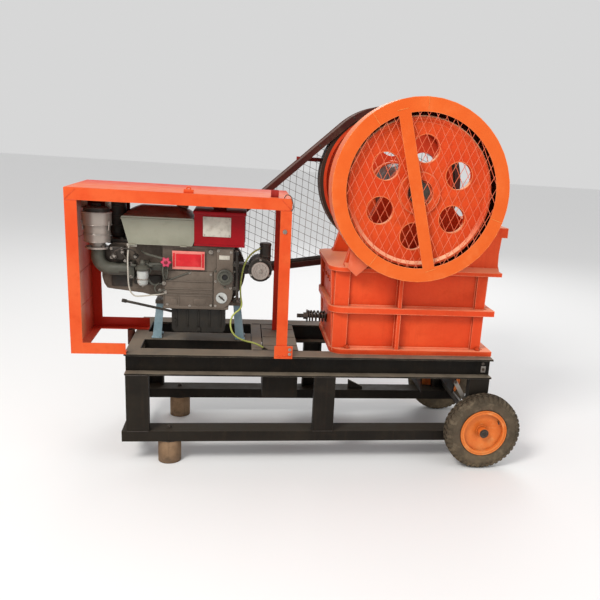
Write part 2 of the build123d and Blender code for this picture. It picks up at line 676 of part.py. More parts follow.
# the coil spring as a sleeve of its outer and inner size
with BuildPart() as tension_spring:
    with BuildSketch(at_x(847)):
        disc(Y(YM), ROD_Z, 30)
        disc(Y(YM), ROD_Z, 21, Mode.SUBTRACT)
    extrude(amount=945 - 847)
save(tension_spring.part, "tension_spring")

with BuildPart() as bearing_housings:
    with BuildSketch(at_y(BODY_Y0 - 58)):
        disc(X(SHAFT_X), SHAFT_Z, BEARING_R)
        disc(X(SHAFT_X), SHAFT_Z, SHAFT_R + 0.06, Mode.SUBTRACT)
    extrude(amount=-58)
    with BuildSketch(at_y(BODY_Y1)):
        disc(X(SHAFT_X), SHAFT_Z, BEARING_R)
        disc(X(SHAFT_X), SHAFT_Z, SHAFT_R + 0.06, Mode.SUBTRACT)
    extrude(amount=-54)
save(bearing_housings.part, "bearing_housings")

# sloping chute under the discharge
with BuildPart() as discharge_chute:
    with BuildSketch(at_y(180)):
        with BuildLine():
            Polyline((X(1395), 536), (X(1401), 536), (X(1440), 300), (X(1434), 300), close=True)
        make_face()
        with BuildLine():
            Polyline((X(1640), 536), (X(1646), 536), (X(1606), 300), (X(1600), 300), close=True)
        make_face()
    extrude(amount=-317)
save(discharge_chute.part, "discharge_chute")

# ================================================================ flywheel and its guard
with BuildPart() as eccentric_shaft:
    with BuildSketch(at_y(SHAFT_Y0)):
        disc(X(SHAFT_X), SHAFT_Z, SHAFT_R)
    extrude(amount=-(SHAFT_Y1 - SHAFT_Y0))
save(eccentric_shaft.part, "eccentric_shaft")

# half section of the flywheel: (radius, station along Y), hub with a recessed bore mouth,
# web, bevelled step up to the rim
FLY_PTS = [(58, FLY_Y), (92, FLY_Y), (92, FLY_Y + 10), (302, FLY_Y + 10), (316, FLY_Y),
           (FLY_R - 5, FLY_Y), (FLY_R, FLY_Y + 5), (FLY_R, FLY_Y + FLY_W - 5), (FLY_R - 5, FLY_Y + FLY_W),
           (280, FLY_Y + FLY_W), (280, FLY_Y + 40), (92, FLY_Y + 40), (92, FLY_Y + 74),
           (SHAFT_R, FLY_Y + 74), (SHAFT_R, SHAFT_Y0), (58, SHAFT_Y0)]
with BuildPart() as flywheel:
    with BuildSketch(Plane(origin=(X(SHAFT_X), 0, SHAFT_Z), x_dir=(1, 0, 0), z_dir=(0, 0, 1))):
        with BuildLine():
            Polyline(*[(r, Y(y)) for r, y in FLY_PTS], close=True)
        make_face()
    revolve(axis=Axis((X(SHAFT_X), 0, SHAFT_Z), (0, 1, 0)), revolution_arc=360)
    with BuildSketch(at_y(FLY_Y)):
        with Locations((X(SHAFT_X), SHAFT_Z)):
            with PolarLocations(FLY_PITCH_R, 6, start_angle=FLY_HOLE_A0):
                Circle(FLY_HOLE_R)
    extrude(amount=-50, mode=Mode.SUBTRACT)
save(flywheel.part, "flywheel")

BAR_TOP = (X(1168), 1684.0)
BAR_BOT = (X(1352), 952.0)
with BuildPart() as flywheel_guard:
    with BuildSketch(at_y(GUARD_Y0)):
        disc(X(GUARD_X), GUARD_Z, GUARD_R)
        disc(X(GUARD_X), GUARD_Z, GUARD_HOLE_R, Mode.SUBTRACT)
        with BuildLine():
            b_len = hypot(BAR_TOP[0] - BAR_BOT[0], BAR_TOP[1] - BAR_BOT[1])
            nx = (BAR_TOP[1] - BAR_BOT[1]) / b_len * 27
            nz = -(BAR_TOP[0] - BAR_BOT[0]) / b_len * 27
            Polyline((BAR_TOP[0] - nx, BAR_TOP[1] - nz), (BAR_TOP[0] + nx, BAR_TOP[1] + nz),
                     (BAR_BOT[0] + nx, BAR_BOT[1] + nz), (BAR_BOT[0] - nx, BAR_BOT[1] - nz), close=True)
        make_face()
    extrude(amount=-4)
    with BuildSketch(at_y(GUARD_Y0)):
        disc(X(GUARD_X), GUARD_Z, GUARD_R)
        disc(X(GUARD_X), GUARD_Z, GUARD_R - 4, Mode.SUBTRACT)
    extrude(amount=-(GUARD_Y1 - GUARD_Y0))
save(flywheel_guard.part, "flywheel_guard")

# diamond mesh behind the ring
with BuildPart() as flywheel_guard_mesh:
    with BuildSketch(at_y(GUARD_Y0 + 4)):
        for k in range(-7, 8):
            with Locations(Location((X(GUARD_X) + k * 56, GUARD_Z, 0), (0, 0, 62))):
                Rectangle(900, 3)
            with Locations(Location((X(GUARD_X) + k * 56, GUARD_Z, 0), (0, 0, -62))):
                Rectangle(900, 3)
        disc(X(GUARD_X), GUARD_Z, GUARD_R - 6, Mode.INTERSECT)
        disc(X(GUARD_X), GUARD_Z, GUARD_R - 6)
        disc(X(GUARD_X), GUARD_Z, GUARD_HOLE_R + 6, Mode.SUBTRACT)
    extrude(amount=-3)
save(flywheel_guard_mesh.part, "flywheel_guard_mesh")

# lugs that tie the guard drum to the crusher's top flange: a plate outside the drum at
# the left, and a short one inside it at the right
with BuildPart() as guard_lugs:
    with BuildSketch(at_y(31)):
        Polygon((X(1003), 1046), (X(993), 959), (X(1033), 923), (X(1090), 975), (X(1090), 1046), align=None)
        disc(X(GUARD_X), GUARD_Z, GUARD_R, Mode.SUBTRACT)
    extrude(amount=-6)
    with BuildSketch(at_y(37)):
        rect(X(1018), 938, X(1048), 944)
    extrude(amount=-(BODY_Y0 - FLANGE - 37))
    with BuildSketch(at_y(44)):
        rect(X(1340), 930, X(1410), 985)
        disc(X(GUARD_X), GUARD_Z, GUARD_R - 4, Mode.INTERSECT)
    extrude(amount=-(BODY_Y0 - FLANGE - 44))
save(guard_lugs.part, "guard_lugs")

# ================================================================ belt drive
def pulley_profile(r, bore):
    """Half profile of a grooved pulley: (radius, station along Y)."""
    pts = [(r, PULLEY_Y0)]
    for yc in BELT_Y:
        pts += [(r, yc - GROOVE_W / 2), (r - GROOVE_D, yc - GROOVE_W / 2),
                (r - GROOVE_D, yc + GROOVE_W / 2), (r, yc + GROOVE_W / 2)]
    pts += [(r, PULLEY_Y1), (r - 34, PULLEY_Y1)]
    return pts


with BuildPart() as crusher_pulley:
    with BuildSketch(Plane(origin=(X(SHAFT_X), 0, SHAFT_Z), x_dir=(1, 0, 0), z_dir=(0, 0, 1))):
        with BuildLine():
            Polyline(*[(r, Y(y)) for r, y in pulley_profile(PULLEY_R, SHAFT_R)
                       + [(PULLEY_R - 34, 725), (92, 725), (92, 765), (SHAFT_R, 765),
                          (SHAFT_R, 645), (92, 645), (92, 690), (PULLEY_R - 34, 690),
                          (PULLEY_R - 34, PULLEY_Y0)]], close=True)
        make_face()
    revolve(axis=Axis((X(SHAFT_X), 0, SHAFT_Z), (0, 1, 0)), revolution_arc=360)
    with BuildSketch(at_y(680)):
        with Locations((X(SHAFT_X), SHAFT_Z)):
            with PolarLocations(FLY_PITCH_R + 20, 6, start_angle=FLY_HOLE_A0):
                Circle(FLY_HOLE_R + 14)
    extrude(amount=-60, mode=Mode.SUBTRACT)
save(crusher_pulley.part, "crusher_pulley")

with BuildPart() as engine_pulley:
    with BuildSketch(Plane(origin=(X(ENG_X), 0, ENG_Z), x_dir=(1, 0, 0), z_dir=(0, 0, 1))):
        with BuildLine():
            Polyline(*[(r, Y(y)) for r, y in pulley_profile(ENG_PULLEY_R, 25)[:-1]
                       + [(25, PULLEY_Y1), (25, PULLEY_Y0)]], close=True)
        make_face()
    revolve(axis=Axis((X(ENG_X), 0, ENG_Z), (0, 1, 0)), revolution_arc=360)
save(engine_pulley.part, "engine_pulley")

with BuildPart() as engine_flywheel:
    with BuildSketch(at_y(378)):
        disc(X(ENG_X), ENG_Z, ENG_FLY_R)
    extrude(amount=-66)
    with BuildSketch(at_y(444)):
        disc(X(ENG_X), ENG_Z, 60)
    extrude(amount=-20)
    chamfer(engine_flywheel.edges().filter_by(GeomType.CIRCLE).filter_by(lambda e: abs(e.radius - ENG_FLY_R) < 0.1), 4)
    with BuildSketch(at_y(302)):
        disc(X(ENG_X), ENG_Z, 25)
    extrude(amount=-(770 - 302))
save(engine_flywheel.part, "engine_flywheel")

GI = 14.0      # room between the pulleys and the guard
GT = 3.0       # guard plate
GUARD_B0, GUARD_B1 = 628.0, 790.0


def loop_face(d, mode=Mode.ADD):
    """Area inside a loop that stands d off both pulleys."""
    disc(*ENG_P, ENG_PULLEY_R + d, mode)
    disc(*CRU_P, PULLEY_R + d, mode)
    Polygon(*tangent_quad(ENG_P, ENG_PULLEY_R + d, CRU_P, PULLEY_R + d), align=None, mode=mode)


with BuildPart() as drive_belts:
    for yc in BELT_Y:
        with BuildSketch(at_y(yc - BELT_W / 2)):
            loop_face(-0.5)
            loop_face(-0.5 - BELT_T, Mode.SUBTRACT)
        extrude(amount=-BELT_W)
save(drive_belts.part, "drive_belts")

with BuildPart() as belt_guard_frame:
    # rim strip
    with BuildSketch(at_y(GUARD_B0)):
        loop_face(GI + GT)
        loop_face(GI, Mode.SUBTRACT)
    extrude(amount=-(GUARD_B1 - GUARD_B0))
    # inward flange on the crusher side
    with BuildSketch(at_y(GUARD_B0)):
        loop_face(GI + GT)
        loop_face(-10, Mode.SUBTRACT)
    extrude(amount=-GT)
    # inward flange that carries the mesh
    with BuildSketch(at_y(GUARD_B1 - GT)):
        loop_face(GI + GT)
        loop_face(0, Mode.SUBTRACT)
    extrude(amount=-GT)
save(belt_guard_frame.part, "belt_guard_frame")

with BuildPart() as belt_guard_mesh:
    with BuildSketch(at_y(GUARD_B1 - 2 * GT)):
        for k in range(0, 24):
            with Locations((X(215) + k * 68, 1100)):
                Rectangle(3, 1400)
        for k in range(-6, 20):
            with Locations(Location((X(900), 560 + k * 76, 0), (0, 0, -22))):
                Rectangle(2400, 3)
        with BuildSketch(mode=Mode.INTERSECT):
            loop_face(GI - 2)
    extrude(amount=-GT)
save(belt_guard_mesh.part, "belt_guard_mesh")

# stays from the rear beam up to the belt guard
with BuildPart() as belt_guard_stays:
    with BuildSketch(at_y(W_TOP - 6)):
        rect(X(716), Z_TOP, X(760), 960)
        rect(X(1240), Z_TOP, X(1300), 1000)
        loop_face(GI + GT, Mode.SUBTRACT)
    extrude(amount=6)
save(belt_guard_stays.part, "belt_guard_stays")
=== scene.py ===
import bpy, bmesh, math, random
from mathutils import Vector, Matrix


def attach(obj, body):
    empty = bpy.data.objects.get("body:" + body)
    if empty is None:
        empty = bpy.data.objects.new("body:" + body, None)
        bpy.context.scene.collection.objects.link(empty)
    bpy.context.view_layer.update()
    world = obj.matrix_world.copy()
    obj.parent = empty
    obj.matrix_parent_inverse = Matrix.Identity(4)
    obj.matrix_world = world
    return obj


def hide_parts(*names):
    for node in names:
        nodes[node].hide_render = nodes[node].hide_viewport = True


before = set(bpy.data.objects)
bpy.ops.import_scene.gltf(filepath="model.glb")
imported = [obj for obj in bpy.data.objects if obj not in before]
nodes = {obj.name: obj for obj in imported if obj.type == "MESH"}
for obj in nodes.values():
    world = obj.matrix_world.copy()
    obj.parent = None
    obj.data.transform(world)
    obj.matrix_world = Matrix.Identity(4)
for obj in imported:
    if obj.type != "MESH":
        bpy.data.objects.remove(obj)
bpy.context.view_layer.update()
random.seed(11)
SC = bpy.context.scene
SC.view_settings.view_transform = "Standard"
SC.view_settings.look = "None"


def P(x, y, z):
    """Point from the machine's own dimensions in mm (from the chassis' left end, front face and the floor)."""
    return Vector((x / 1000 - 0.8325, y / 1000 - 0.346, z / 1000))


# ------------------------------------------------------------------ camera
cam_data = bpy.data.cameras.new("cam")
cam_data.sensor_fit = "HORIZONTAL"
cam_data.sensor_width = 36
cam_data.lens = 41.9993
cam_data.shift_x = -0.1045647
cam_data.shift_y = 0.0676932
cam_data.clip_end = 200
cam = bpy.data.objects.new("cam", cam_data)
SC.collection.objects.link(cam)
cam.matrix_world = Matrix(((0.984677, -0.0196489, -0.1732776, -0.32283),
                           (-0.1609238, 0.2804657, -0.9462783, -3.45898),
                           (0.0671918, 0.9596629, 0.2730061, 1.521672),
                           (0, 0, 0, 1)))
SC.camera = cam


# ------------------------------------------------------------------ materials
def hx(s, a=1.0):
    s = s.lstrip("#")
    v = [int(s[i:i + 2], 16) / 255 for i in (0, 2, 4)]
    return tuple(c / 12.92 if c <= 0.04045 else ((c + 0.055) / 1.055) ** 2.4 for c in v) + (a,)


def surface(name, base, alt, scale=5, dust=None, dust_amt=0.4, dust_scale=14, top=None, top_amt=0.0,
            rough=(0.4, 0.6), metallic=0.0, bump=0.15, bump_scale=90, ao=0.5, ao_dist=0.04, edge=None,
            edge_amt=0.6, edge_r=0.0025, coat=0.0, streak=None, streak_amt=0.0, spec=0.5, speck=None,
            speck_amt=0.5, stretch=(1, 1, 1), low=None, low_z=0.3, ao_tint=(1, 1, 1), rear_shade=None,
            rear_shade_y=(-0.3, 0.0), top_lo=0.35, top_hi=0.95, rim=None):
    m = bpy.data.materials.new(name)
    m.use_nodes = True
    nt = m.node_tree
    N, L = nt.nodes, nt.links
    b = N["Principled BSDF"]
    b.inputs["Metallic"].default_value = metallic
    b.inputs["Coat Weight"].default_value = coat
    b.inputs["Coat Roughness"].default_value = 0.15
    b.inputs["Specular IOR Level"].default_value = spec
    tc = N.new("ShaderNodeTexCoord")
    mp = N.new("ShaderNodeMapping")
    mp.inputs["Scale"].default_value = stretch
    L.new(tc.outputs["Object"], mp.inputs["Vector"])

    def noise(sc, det=6, rough_=0.6, vec=None, off=None):
        n = N.new("ShaderNodeTexNoise")
        n.inputs["Scale"].default_value = sc
        n.inputs["Detail"].default_value = det
        n.inputs["Roughness"].default_value = rough_
        L.new(vec or mp.outputs["Vector"], n.inputs["Vector"])
        return n.outputs["Fac"]

    def ramp(src, lo, hi, a=0.0, c=1.0):
        r = N.new("ShaderNodeMapRange")
        r.interpolation_type = "SMOOTHSTEP"
        r.inputs["From Min"].default_value = lo
        r.inputs["From Max"].default_value = hi
        r.inputs["To Min"].default_value = a
        r.inputs["To Max"].default_value = c
        L.new(src, r.inputs["Value"])
        return r.outputs["Result"]

    def mix(fac, c1, c2, mode="MIX"):
        x = N.new("ShaderNodeMix")
        x.data_type = "RGBA"
        x.blend_type = mode
        if isinstance(fac, (int, float)):
            x.inputs["Factor"].default_value = fac
        else:
            L.new(fac, x.inputs["Factor"])
        for s, c in (("A", c1), ("B", c2)):
            sock = [i for i in x.inputs if i.name == s and i.type == "RGBA"][0]
            if isinstance(c, tuple):
                sock.default_value = c
            else:
                L.new(c, sock)
        return [o for o in x.outputs if o.type == "RGBA"][0]

    def mul(p, q):
        n = N.new("ShaderNodeMath")
        n.operation = "MULTIPLY"
        for i, v in enumerate((p, q)):
            if isinstance(v, (int, float)):
                n.inputs[i].default_value = v
            else:
                L.new(v, n.inputs[i])
        return n.outputs[0]

    n1 = noise(scale, 8)
    col = mix(ramp(n1, 0.35, 0.65), hx(base), hx(alt))
    n2 = noise(dust_scale, 10, 0.65)
    if dust:
        col = mix(ramp(n2, 0.5, 0.72, 0, dust_amt), col, hx(dust))
    if streak:
        ms = N.new("ShaderNodeMapping")
        ms.inputs["Scale"].default_value = (60, 60, 3)
        L.new(tc.outputs["Object"], ms.inputs["Vector"])
        col = mix(ramp(noise(1.0, 6, 0.6, ms.outputs["Vector"]), 0.5, 0.75, 0, streak_amt), col, hx(streak))
    if speck:
        col = mix(ramp(noise(220, 3, 0.7), 0.62, 0.72, 0, speck_amt), col, hx(speck))
    if low:
        sx = N.new("ShaderNodeSeparateXYZ")
        L.new(tc.outputs["Object"], sx.inputs["Vector"])
        col = mix(mul(ramp(sx.outputs["Z"], 0.0, low_z, 0.8, 0.0), ramp(n2, 0.3, 0.7)), col, hx(low))
    # painted light: faces turned upwards blend towards the top colour, a painted highlight where it is lighter than the
    # base and painted shade where it is darker
    if top:
        g = N.new("ShaderNodeNewGeometry")
        sn = N.new("ShaderNodeSeparateXYZ")
        L.new(g.outputs["Normal"], sn.inputs["Vector"])
        up = ramp(sn.outputs["Z"], top_lo, top_hi)
        col = mix(mul(mul(up, top_amt), ramp(n2, 0.2, 0.62, 0.55, 1.0)), col, hx(top))
    if rim:
        # dirty rim and grooves of a pulley: everything outside a radius and behind a depth
        cx, cz, r0, y0, rc = rim
        sr = N.new("ShaderNodeSeparateXYZ")
        L.new(tc.outputs["Object"], sr.inputs["Vector"])
        cr = N.new("ShaderNodeCombineXYZ")
        L.new(sr.outputs["X"], cr.inputs["X"])
        L.new(sr.outputs["Z"], cr.inputs["Z"])
        ds = N.new("ShaderNodeVectorMath")
        ds.operation = "DISTANCE"
        L.new(cr.outputs["Vector"], ds.inputs[0])
        ds.inputs[1].default_value = (cx, 0, cz)
        col = mix(mul(ramp(ds.outputs["Value"], r0, r0 + 0.001), ramp(sr.outputs["Y"], y0, y0 + 0.001)), col, hx(rc))
    # painted shade: the colour blends towards the rear_shade colour further back in Y, deeper inside the cage
    if rear_shade:
        sy = N.new("ShaderNodeSeparateXYZ")
        L.new(tc.outputs["Object"], sy.inputs["Vector"])
        col = mix(ramp(sy.outputs["Y"], rear_shade_y[0], rear_shade_y[1], 0.0, 0.9), col, hx(rear_shade))
    if edge:
        bv = N.new("ShaderNodeBevel")
        bv.samples = 4
        bv.inputs["Radius"].default_value = edge_r
        g2 = N.new("ShaderNodeNewGeometry")
        dt = N.new("ShaderNodeVectorMath")
        dt.operation = "DOT_PRODUCT"
        L.new(bv.outputs["Normal"], dt.inputs[0])
        L.new(g2.outputs["Normal"], dt.inputs[1])
        em = ramp(dt.outputs["Value"], 0.99, 0.85)
        col = mix(mul(mul(em, edge_amt), ramp(n2, 0.35, 0.6, 0.35, 1.0)), col, hx(edge))
    # painted shade: ambient occlusion darkens the base colour in corners and recesses; ao_tint raises each channel to
    # its own power so the shade turns redder
    if ao:
        an = N.new("ShaderNodeAmbientOcclusion")
        an.samples = 4
        an.inputs["Distance"].default_value = ao_dist
        dark = ramp(an.outputs["AO"], 0.25, 0.85, 1 - ao, 1.0)
        cb = N.new("ShaderNodeCombineColor")
        for k, t in zip(("Red", "Green", "Blue"), ao_tint):
            pw = N.new("ShaderNodeMath")
            pw.operation = "POWER"
            L.new(dark, pw.inputs[0])
            pw.inputs[1].default_value = t
            L.new(pw.outputs[0], cb.inputs[k])
        col = mix(1.0, col, cb.outputs["Color"], "MULTIPLY")
    L.new(col, b.inputs["Base Color"])
    L.new(ramp(n2, 0.3, 0.7, rough[0], rough[1]), b.inputs["Roughness"])
    bp = N.new("ShaderNodeBump")
    bp.inputs["Strength"].default_value = bump
    bp.inputs["Distance"].default_value = 0.002
    ad = N.new("ShaderNodeMath")
    ad.operation = "ADD"
    L.new(noise(bump_scale, 6, 0.6), ad.inputs[0])
    L.new(mul(noise(bump_scale / 7, 4, 0.5), 1.5), ad.inputs[1])
    L.new(ad.outputs[0], bp.inputs["Height"])
    L.new(bp.outputs["Normal"], b.inputs["Normal"])
    return m


# In these materials the top colour is a painted highlight on upward faces (painted shade for the tank and radiator),
# rear_shade is painted shade towards the back, and the ambient occlusion is painted shade in corners and recesses
M = {}
M["frame"] = surface("frame_black", "#1f1b16", "#161310", 4, "#32281f", 0.45, 12, top="#8e8170", top_amt=0.78,
                     rough=(0.45, 0.7), bump=0.25, edge="#a09483", edge_amt=0.6, edge_r=0.003, streak="#2c241b", streak_amt=0.35,
                     speck="#574b3f", speck_amt=0.3, spec=0.12)
M["rail"] = surface("rail_black", "#26211b", "#1c1814", 4, "#362d24", 0.4, 12, top="#4c443a", top_amt=0.5,
                    rough=(0.5, 0.72), bump=0.25, edge="#5a5044", edge_amt=0.5, streak="#34291f", streak_amt=0.35, spec=0.12)
M["foot"] = surface("foot_steel", "#8f7358", "#735a43", 9, "#54412f", 0.6, 22, rough=(0.6, 0.85), bump=0.5,
                    bump_scale=60, streak="#46372a", streak_amt=0.45, low="#5f5042", low_z=0.06, top="#8f7d66", top_amt=0.6, spec=0.2)
M["zinc"] = surface("brace_zinc", "#8a847d", "#6f6963", 14, "#57514b", 0.4, 30, rough=(0.35, 0.6), metallic=0.55,
                    bump=0.1, edge="#bdb8b0", edge_amt=0.5)
M["chute"] = surface("chute_steel", "#2a221d", "#1a1511", 5, "#93401a", 0.5, 9, rough=(0.5, 0.75), bump=0.3, spec=0.2)
M["tyre"] = surface("tyre_rubber", "#5d5142", "#494034", 9, "#827461", 0.6, 24, rough=(0.75, 0.95), bump=0.35,
                    bump_scale=160, speck="#948570", speck_amt=0.35, low="#75664f", low_z=0.16, ao=0.65, ao_dist=0.012, spec=0.15)
M["rim"] = surface("rim_orange", "#e27c34", "#d86e28", 7, "#eeaa6c", 0.55, 16, rough=(0.38, 0.62), bump=0.15,
                   edge="#b85518", edge_amt=0.5, speck="#8c4515", speck_amt=0.45, low="#de9350", low_z=0.24, spec=0.3)
# painted shade: the AO is tinted red over 0.3 m and rear_shade darkens the cage towards the back; the top colour is a
# painted highlight
M["cage"] = surface("cage_orange", "#d44a1e", "#da5a2b", 5, "#c24014", 0.4, 16, top="#ec8058", top_amt=0.6,
                    rough=(0.35, 0.55), bump=0.1, edge="#f08350", edge_amt=0.55, coat=0.0, spec=0.15, ao=0.5, ao_dist=0.3,
                    ao_tint=(0.45, 1.3, 1.0), rear_shade="#d83820", rear_shade_y=(-0.2, 0.12))
# painted highlight: the pale salmon colours stand in for the sunlit inside of the side sheet; the top colour is a
# painted highlight and rear_shade is painted shade towards the back
M["cage_in"] = surface("cage_inner", "#f6b080", "#ee9a68", 3, "#d87850", 0.4, 7, top="#ea8660", top_amt=0.85,
                       rough=(0.42, 0.62), bump=0.12, streak="#b8502c", streak_amt=0.25, spec=0.15, ao=0.2, ao_dist=0.25,
                       ao_tint=(0.45, 1.2, 1.0), rear_shade="#c02c1a", rear_shade_y=(-0.22, -0.02))
M["cast"] = surface("engine_cast", "#6a5e53", "#5a4f45", 6, "#3d352d", 0.4, 18, top="#857a6d", top_amt=0.45,
                    rough=(0.42, 0.66), bump=0.55, bump_scale=150, edge="#9a8e80", edge_amt=0.5, ao=0.6, ao_dist=0.02,
                    speck="#453c34", speck_amt=0.3, spec=0.25)
M["sump"] = surface("sump_dark", "#262119", "#1b1814", 7, "#353028", 0.4, 18, rough=(0.35, 0.6), bump=0.35, bump_scale=130, spec=0.3)
M["dark"] = surface("dark_metal", "#3a3530", "#2a2622", 8, "#544b42", 0.45, 20, top="#675e54", top_amt=0.4,
                    rough=(0.4, 0.62), metallic=0.2, bump=0.3, bump_scale=130, edge="#83786c", edge_amt=0.55, ao_dist=0.02, spec=0.3)
M["elbow"] = surface("elbow_cast", "#55544a", "#403f38", 8, "#716e62", 0.4, 20, rough=(0.4, 0.6), bump=0.45,
                     bump_scale=140, edge="#8f8b7f", edge_amt=0.4, spec=0.3)
M["leg"] = surface("leg_blue", "#9cb8c2", "#7f9ea9", 7, "#637d86", 0.45, 18, rough=(0.4, 0.6), bump=0.12,
                   edge="#d3e2e6", edge_amt=0.5, low="#5f7075", low_z=0.58, spec=0.3)
# painted shade and painted reflection: the brown top colour darkens the upward faces as if they were shaded by the roof
# and tinted by it
M["tank"] = surface("tank_grey", "#8f8e7e", "#838272", 5, "#74725f", 0.35, 14, top="#6e4632", top_amt=0.75,
                    rough=(0.28, 0.45), bump=0.06, edge="#c4bfae", edge_amt=0.6, coat=0.05, speck="#6c6a59", speck_amt=0.25, spec=0.25)
M["cleaner"] = surface("cleaner_grey", "#a69b92", "#968b82", 4, "#7b7068", 0.25, 12, rough=(0.3, 0.4), metallic=0.35,
                       bump=0.02, edge="#e6ddd5", edge_amt=0.6)
# painted shade: the dark top colour darkens the radiator's upward faces
M["radiator"] = surface("radiator_red", "#970f18", "#860b14", 5, "#6c0810", 0.35, 14, top="#3a080d", top_amt=0.7,
                        rough=(0.3, 0.45), bump=0.05, edge="#b8404e", edge_amt=0.4, coat=0.03, spec=0.12)
# painted highlight: the pale top colour lights faces turned up; the pale edge colour is worn paint together with a
# painted highlight on the rounded corners
M["crusher"] = surface("crusher_orange", "#d6441a", "#df5124", 3.2, "#c03610", 0.5, 8, top="#f5a077", top_amt=0.9, top_lo=0.25,
                       rough=(0.42, 0.62), bump=0.6, bump_scale=70, edge="#f7aa80", edge_amt=0.75, edge_r=0.006,
                       ao=0.45, ao_dist=0.06, streak="#bd3a14", streak_amt=0.25, spec=0.2)
# painted highlight: the top colour with low top_lo and top_hi lights the lower bevel of the rim and the lower lips of
# the holes; the pale edge colour is a painted highlight on the bevel together with worn paint
M["flywheel"] = surface("flywheel_orange", "#d54319", "#e05322", 5.5, "#b4330f", 0.6, 11, top="#ffc39a", top_amt=1.0, top_lo=0.12, top_hi=0.6,
                        rough=(0.42, 0.62), bump=0.55, bump_scale=80, edge="#f8b48c", edge_amt=0.75, edge_r=0.006,
                        streak="#a83212", streak_amt=0.35, spec=0.15)
M["pulley_red"] = surface("pulley_red", "#cf4520", "#bf381a", 4, "#a52a12", 0.45, 12, top="#c85a3c", top_amt=0.3,
                          rough=(0.42, 0.62), bump=0.3, edge="#d4734f", edge_amt=0.4, spec=0.15,
                          rim=(0.4475, 1.319, 0.3515, 0.0, "#3a2b22"))
M["guard"] = surface("guard_orange", "#de6325", "#d85a1e", 4, "#e2743a", 0.45, 12, top="#f7ba88", top_amt=0.5,
                     rough=(0.36, 0.55), bump=0.1, edge="#f7b07a", edge_amt=0.55, edge_r=0.004, coat=0.0, spec=0.15)
# painted highlight: the pale pinkish orange is partly the orange paint and partly a painted highlight for the lugs' lit
# upper faces
M["lug"] = surface("lug_pink", "#e2714c", "#d65f3b", 9, "#eb937a", 0.5, 22, rough=(0.45, 0.6), bump=0.12,
                   edge="#f0ad95", edge_amt=0.5, spec=0.2)
# painted shade: the dark maroon is the guard frame's red paint darkened to the tone it has in shade; the top colour is
# a painted highlight
M["guard_red"] = surface("guard_red", "#4e2018", "#3c1712", 5, "#5c4335", 0.55, 12, top="#7f6250", top_amt=0.4,
                         rough=(0.45, 0.65), bump=0.15, edge="#96705e", edge_amt=0.5, spec=0.2)
# painted shade: dark brown for the shaded inside of the flywheel guard drum
M["inner_drum_shade"] = surface("drum_shadow", "#5a2412", "#481a0c", 6, "#6b3219", 0.4, 16, rough=(0.6, 0.8), bump=0.15, ao=0.3, spec=0.1)
M["drum"] = surface("drum_lit", "#f0935c", "#ea8146", 4, "#f6ae7e", 0.5, 12, rough=(0.4, 0.6), bump=0.1, spec=0.15)
# painted highlight: paler copy of the flywheel orange for the lit rims of its holes and hub
M["hole_lip_highlight"] = surface("hole_lip_highlight", "#ec7f4c", "#e26f3c", 20, "#f5a57c", 0.5, 40, rough=(0.42, 0.62), bump=0.2, spec=0.15)
M["stub"] = surface("stub_brown", "#5a2a1c", "#3f2118", 14, "#6a4f40", 0.5, 30, rough=(0.5, 0.7), bump=0.3, spec=0.15,
                    edge="#8a5038", edge_amt=0.5)
M["shield"] = surface("shield_red", "#5c1a12", "#43130d", 6, "#6d3426", 0.45, 16, rough=(0.5, 0.7), bump=0.15, spec=0.12)
M["red_bar"] = surface("bar_red", "#a02820", "#861e18", 8, "#b54c40", 0.4, 20, rough=(0.4, 0.6), bump=0.12, spec=0.2)
M["iron"] = surface("pulley_iron", "#40342c", "#2e251f", 7, "#5c4d40", 0.45, 20, rough=(0.4, 0.65), metallic=0.4,
                    bump=0.3, edge="#85766a", edge_amt=0.5)
M["jaw"] = surface("jaw_steel", "#544c45", "#413933", 7, "#75492e", 0.45, 14, rough=(0.35, 0.6), metallic=0.5,
                   bump=0.4, bump_scale=60, edge="#9c9186", edge_amt=0.6)
M["bare"] = surface("bare_steel", "#5d554d", "#443d36", 9, "#63422a", 0.5, 18, rough=(0.32, 0.55), metallic=0.6,
                    bump=0.2, edge="#958b80", edge_amt=0.5)
M["wire_front"] = surface("mesh_salmon", "#e0714f", "#d4603f", 20, "#e9937a", 0.5, 60, rough=(0.4, 0.6), bump=0.1, ao=0, spec=0.2)
M["wire_rear"] = surface("mesh_dusty", "#83705f", "#6b5a4b", 20, "#9c8874", 0.5, 60, rough=(0.5, 0.7), bump=0.1, ao=0, spec=0.2)
M["belt"] = surface("belt_rubber", "#43372e", "#322923", 12, "#6a5a4b", 0.5, 40, rough=(0.7, 0.9), bump=0.25,
                    bump_scale=260, edge="#6e6054", edge_amt=0.4, spec=0.2)
M["sheath"] = surface("wire_sheath", "#b0b862", "#969e4e", 10, "#727046", 0.45, 30, rough=(0.4, 0.6), bump=0.1, ao=0.2, spec=0.3)
M["bolt"] = surface("bolt_zinc", "#9d958b", "#7d756c", 30, "#544839", 0.45, 60, rough=(0.3, 0.5), metallic=0.7,
                    bump=0.15, edge="#e4dfd8", edge_amt=0.5, ao_dist=0.01)
M["bolt_dark"] = surface("bolt_dark", "#433b34", "#322b26", 30, "#613f29", 0.45, 60, rough=(0.4, 0.6), metallic=0.5,
                         bump=0.2, edge="#7d7267", edge_amt=0.5, ao_dist=0.01)
M["bolt_orange"] = surface("bolt_orange", "#cf431a", "#b93812", 20, "#723f24", 0.5, 60, rough=(0.42, 0.6),
                           bump=0.25, edge="#e28358", edge_amt=0.6, ao=0.6, ao_dist=0.012, spec=0.2)
M["plate"] = surface("blank_plate", "#c2bcae", "#aca598", 20, "#8c8275", 0.5, 40, rough=(0.3, 0.5), metallic=0.2,
                     bump=0.1, edge="#e6e1d8", edge_amt=0.5, speck="#857b86", speck_amt=0.4)
M["pink"] = surface("plate_pink", "#e08478", "#d4726a", 14, "#c25850", 0.4, 30, rough=(0.35, 0.5), bump=0.08, spec=0.25)
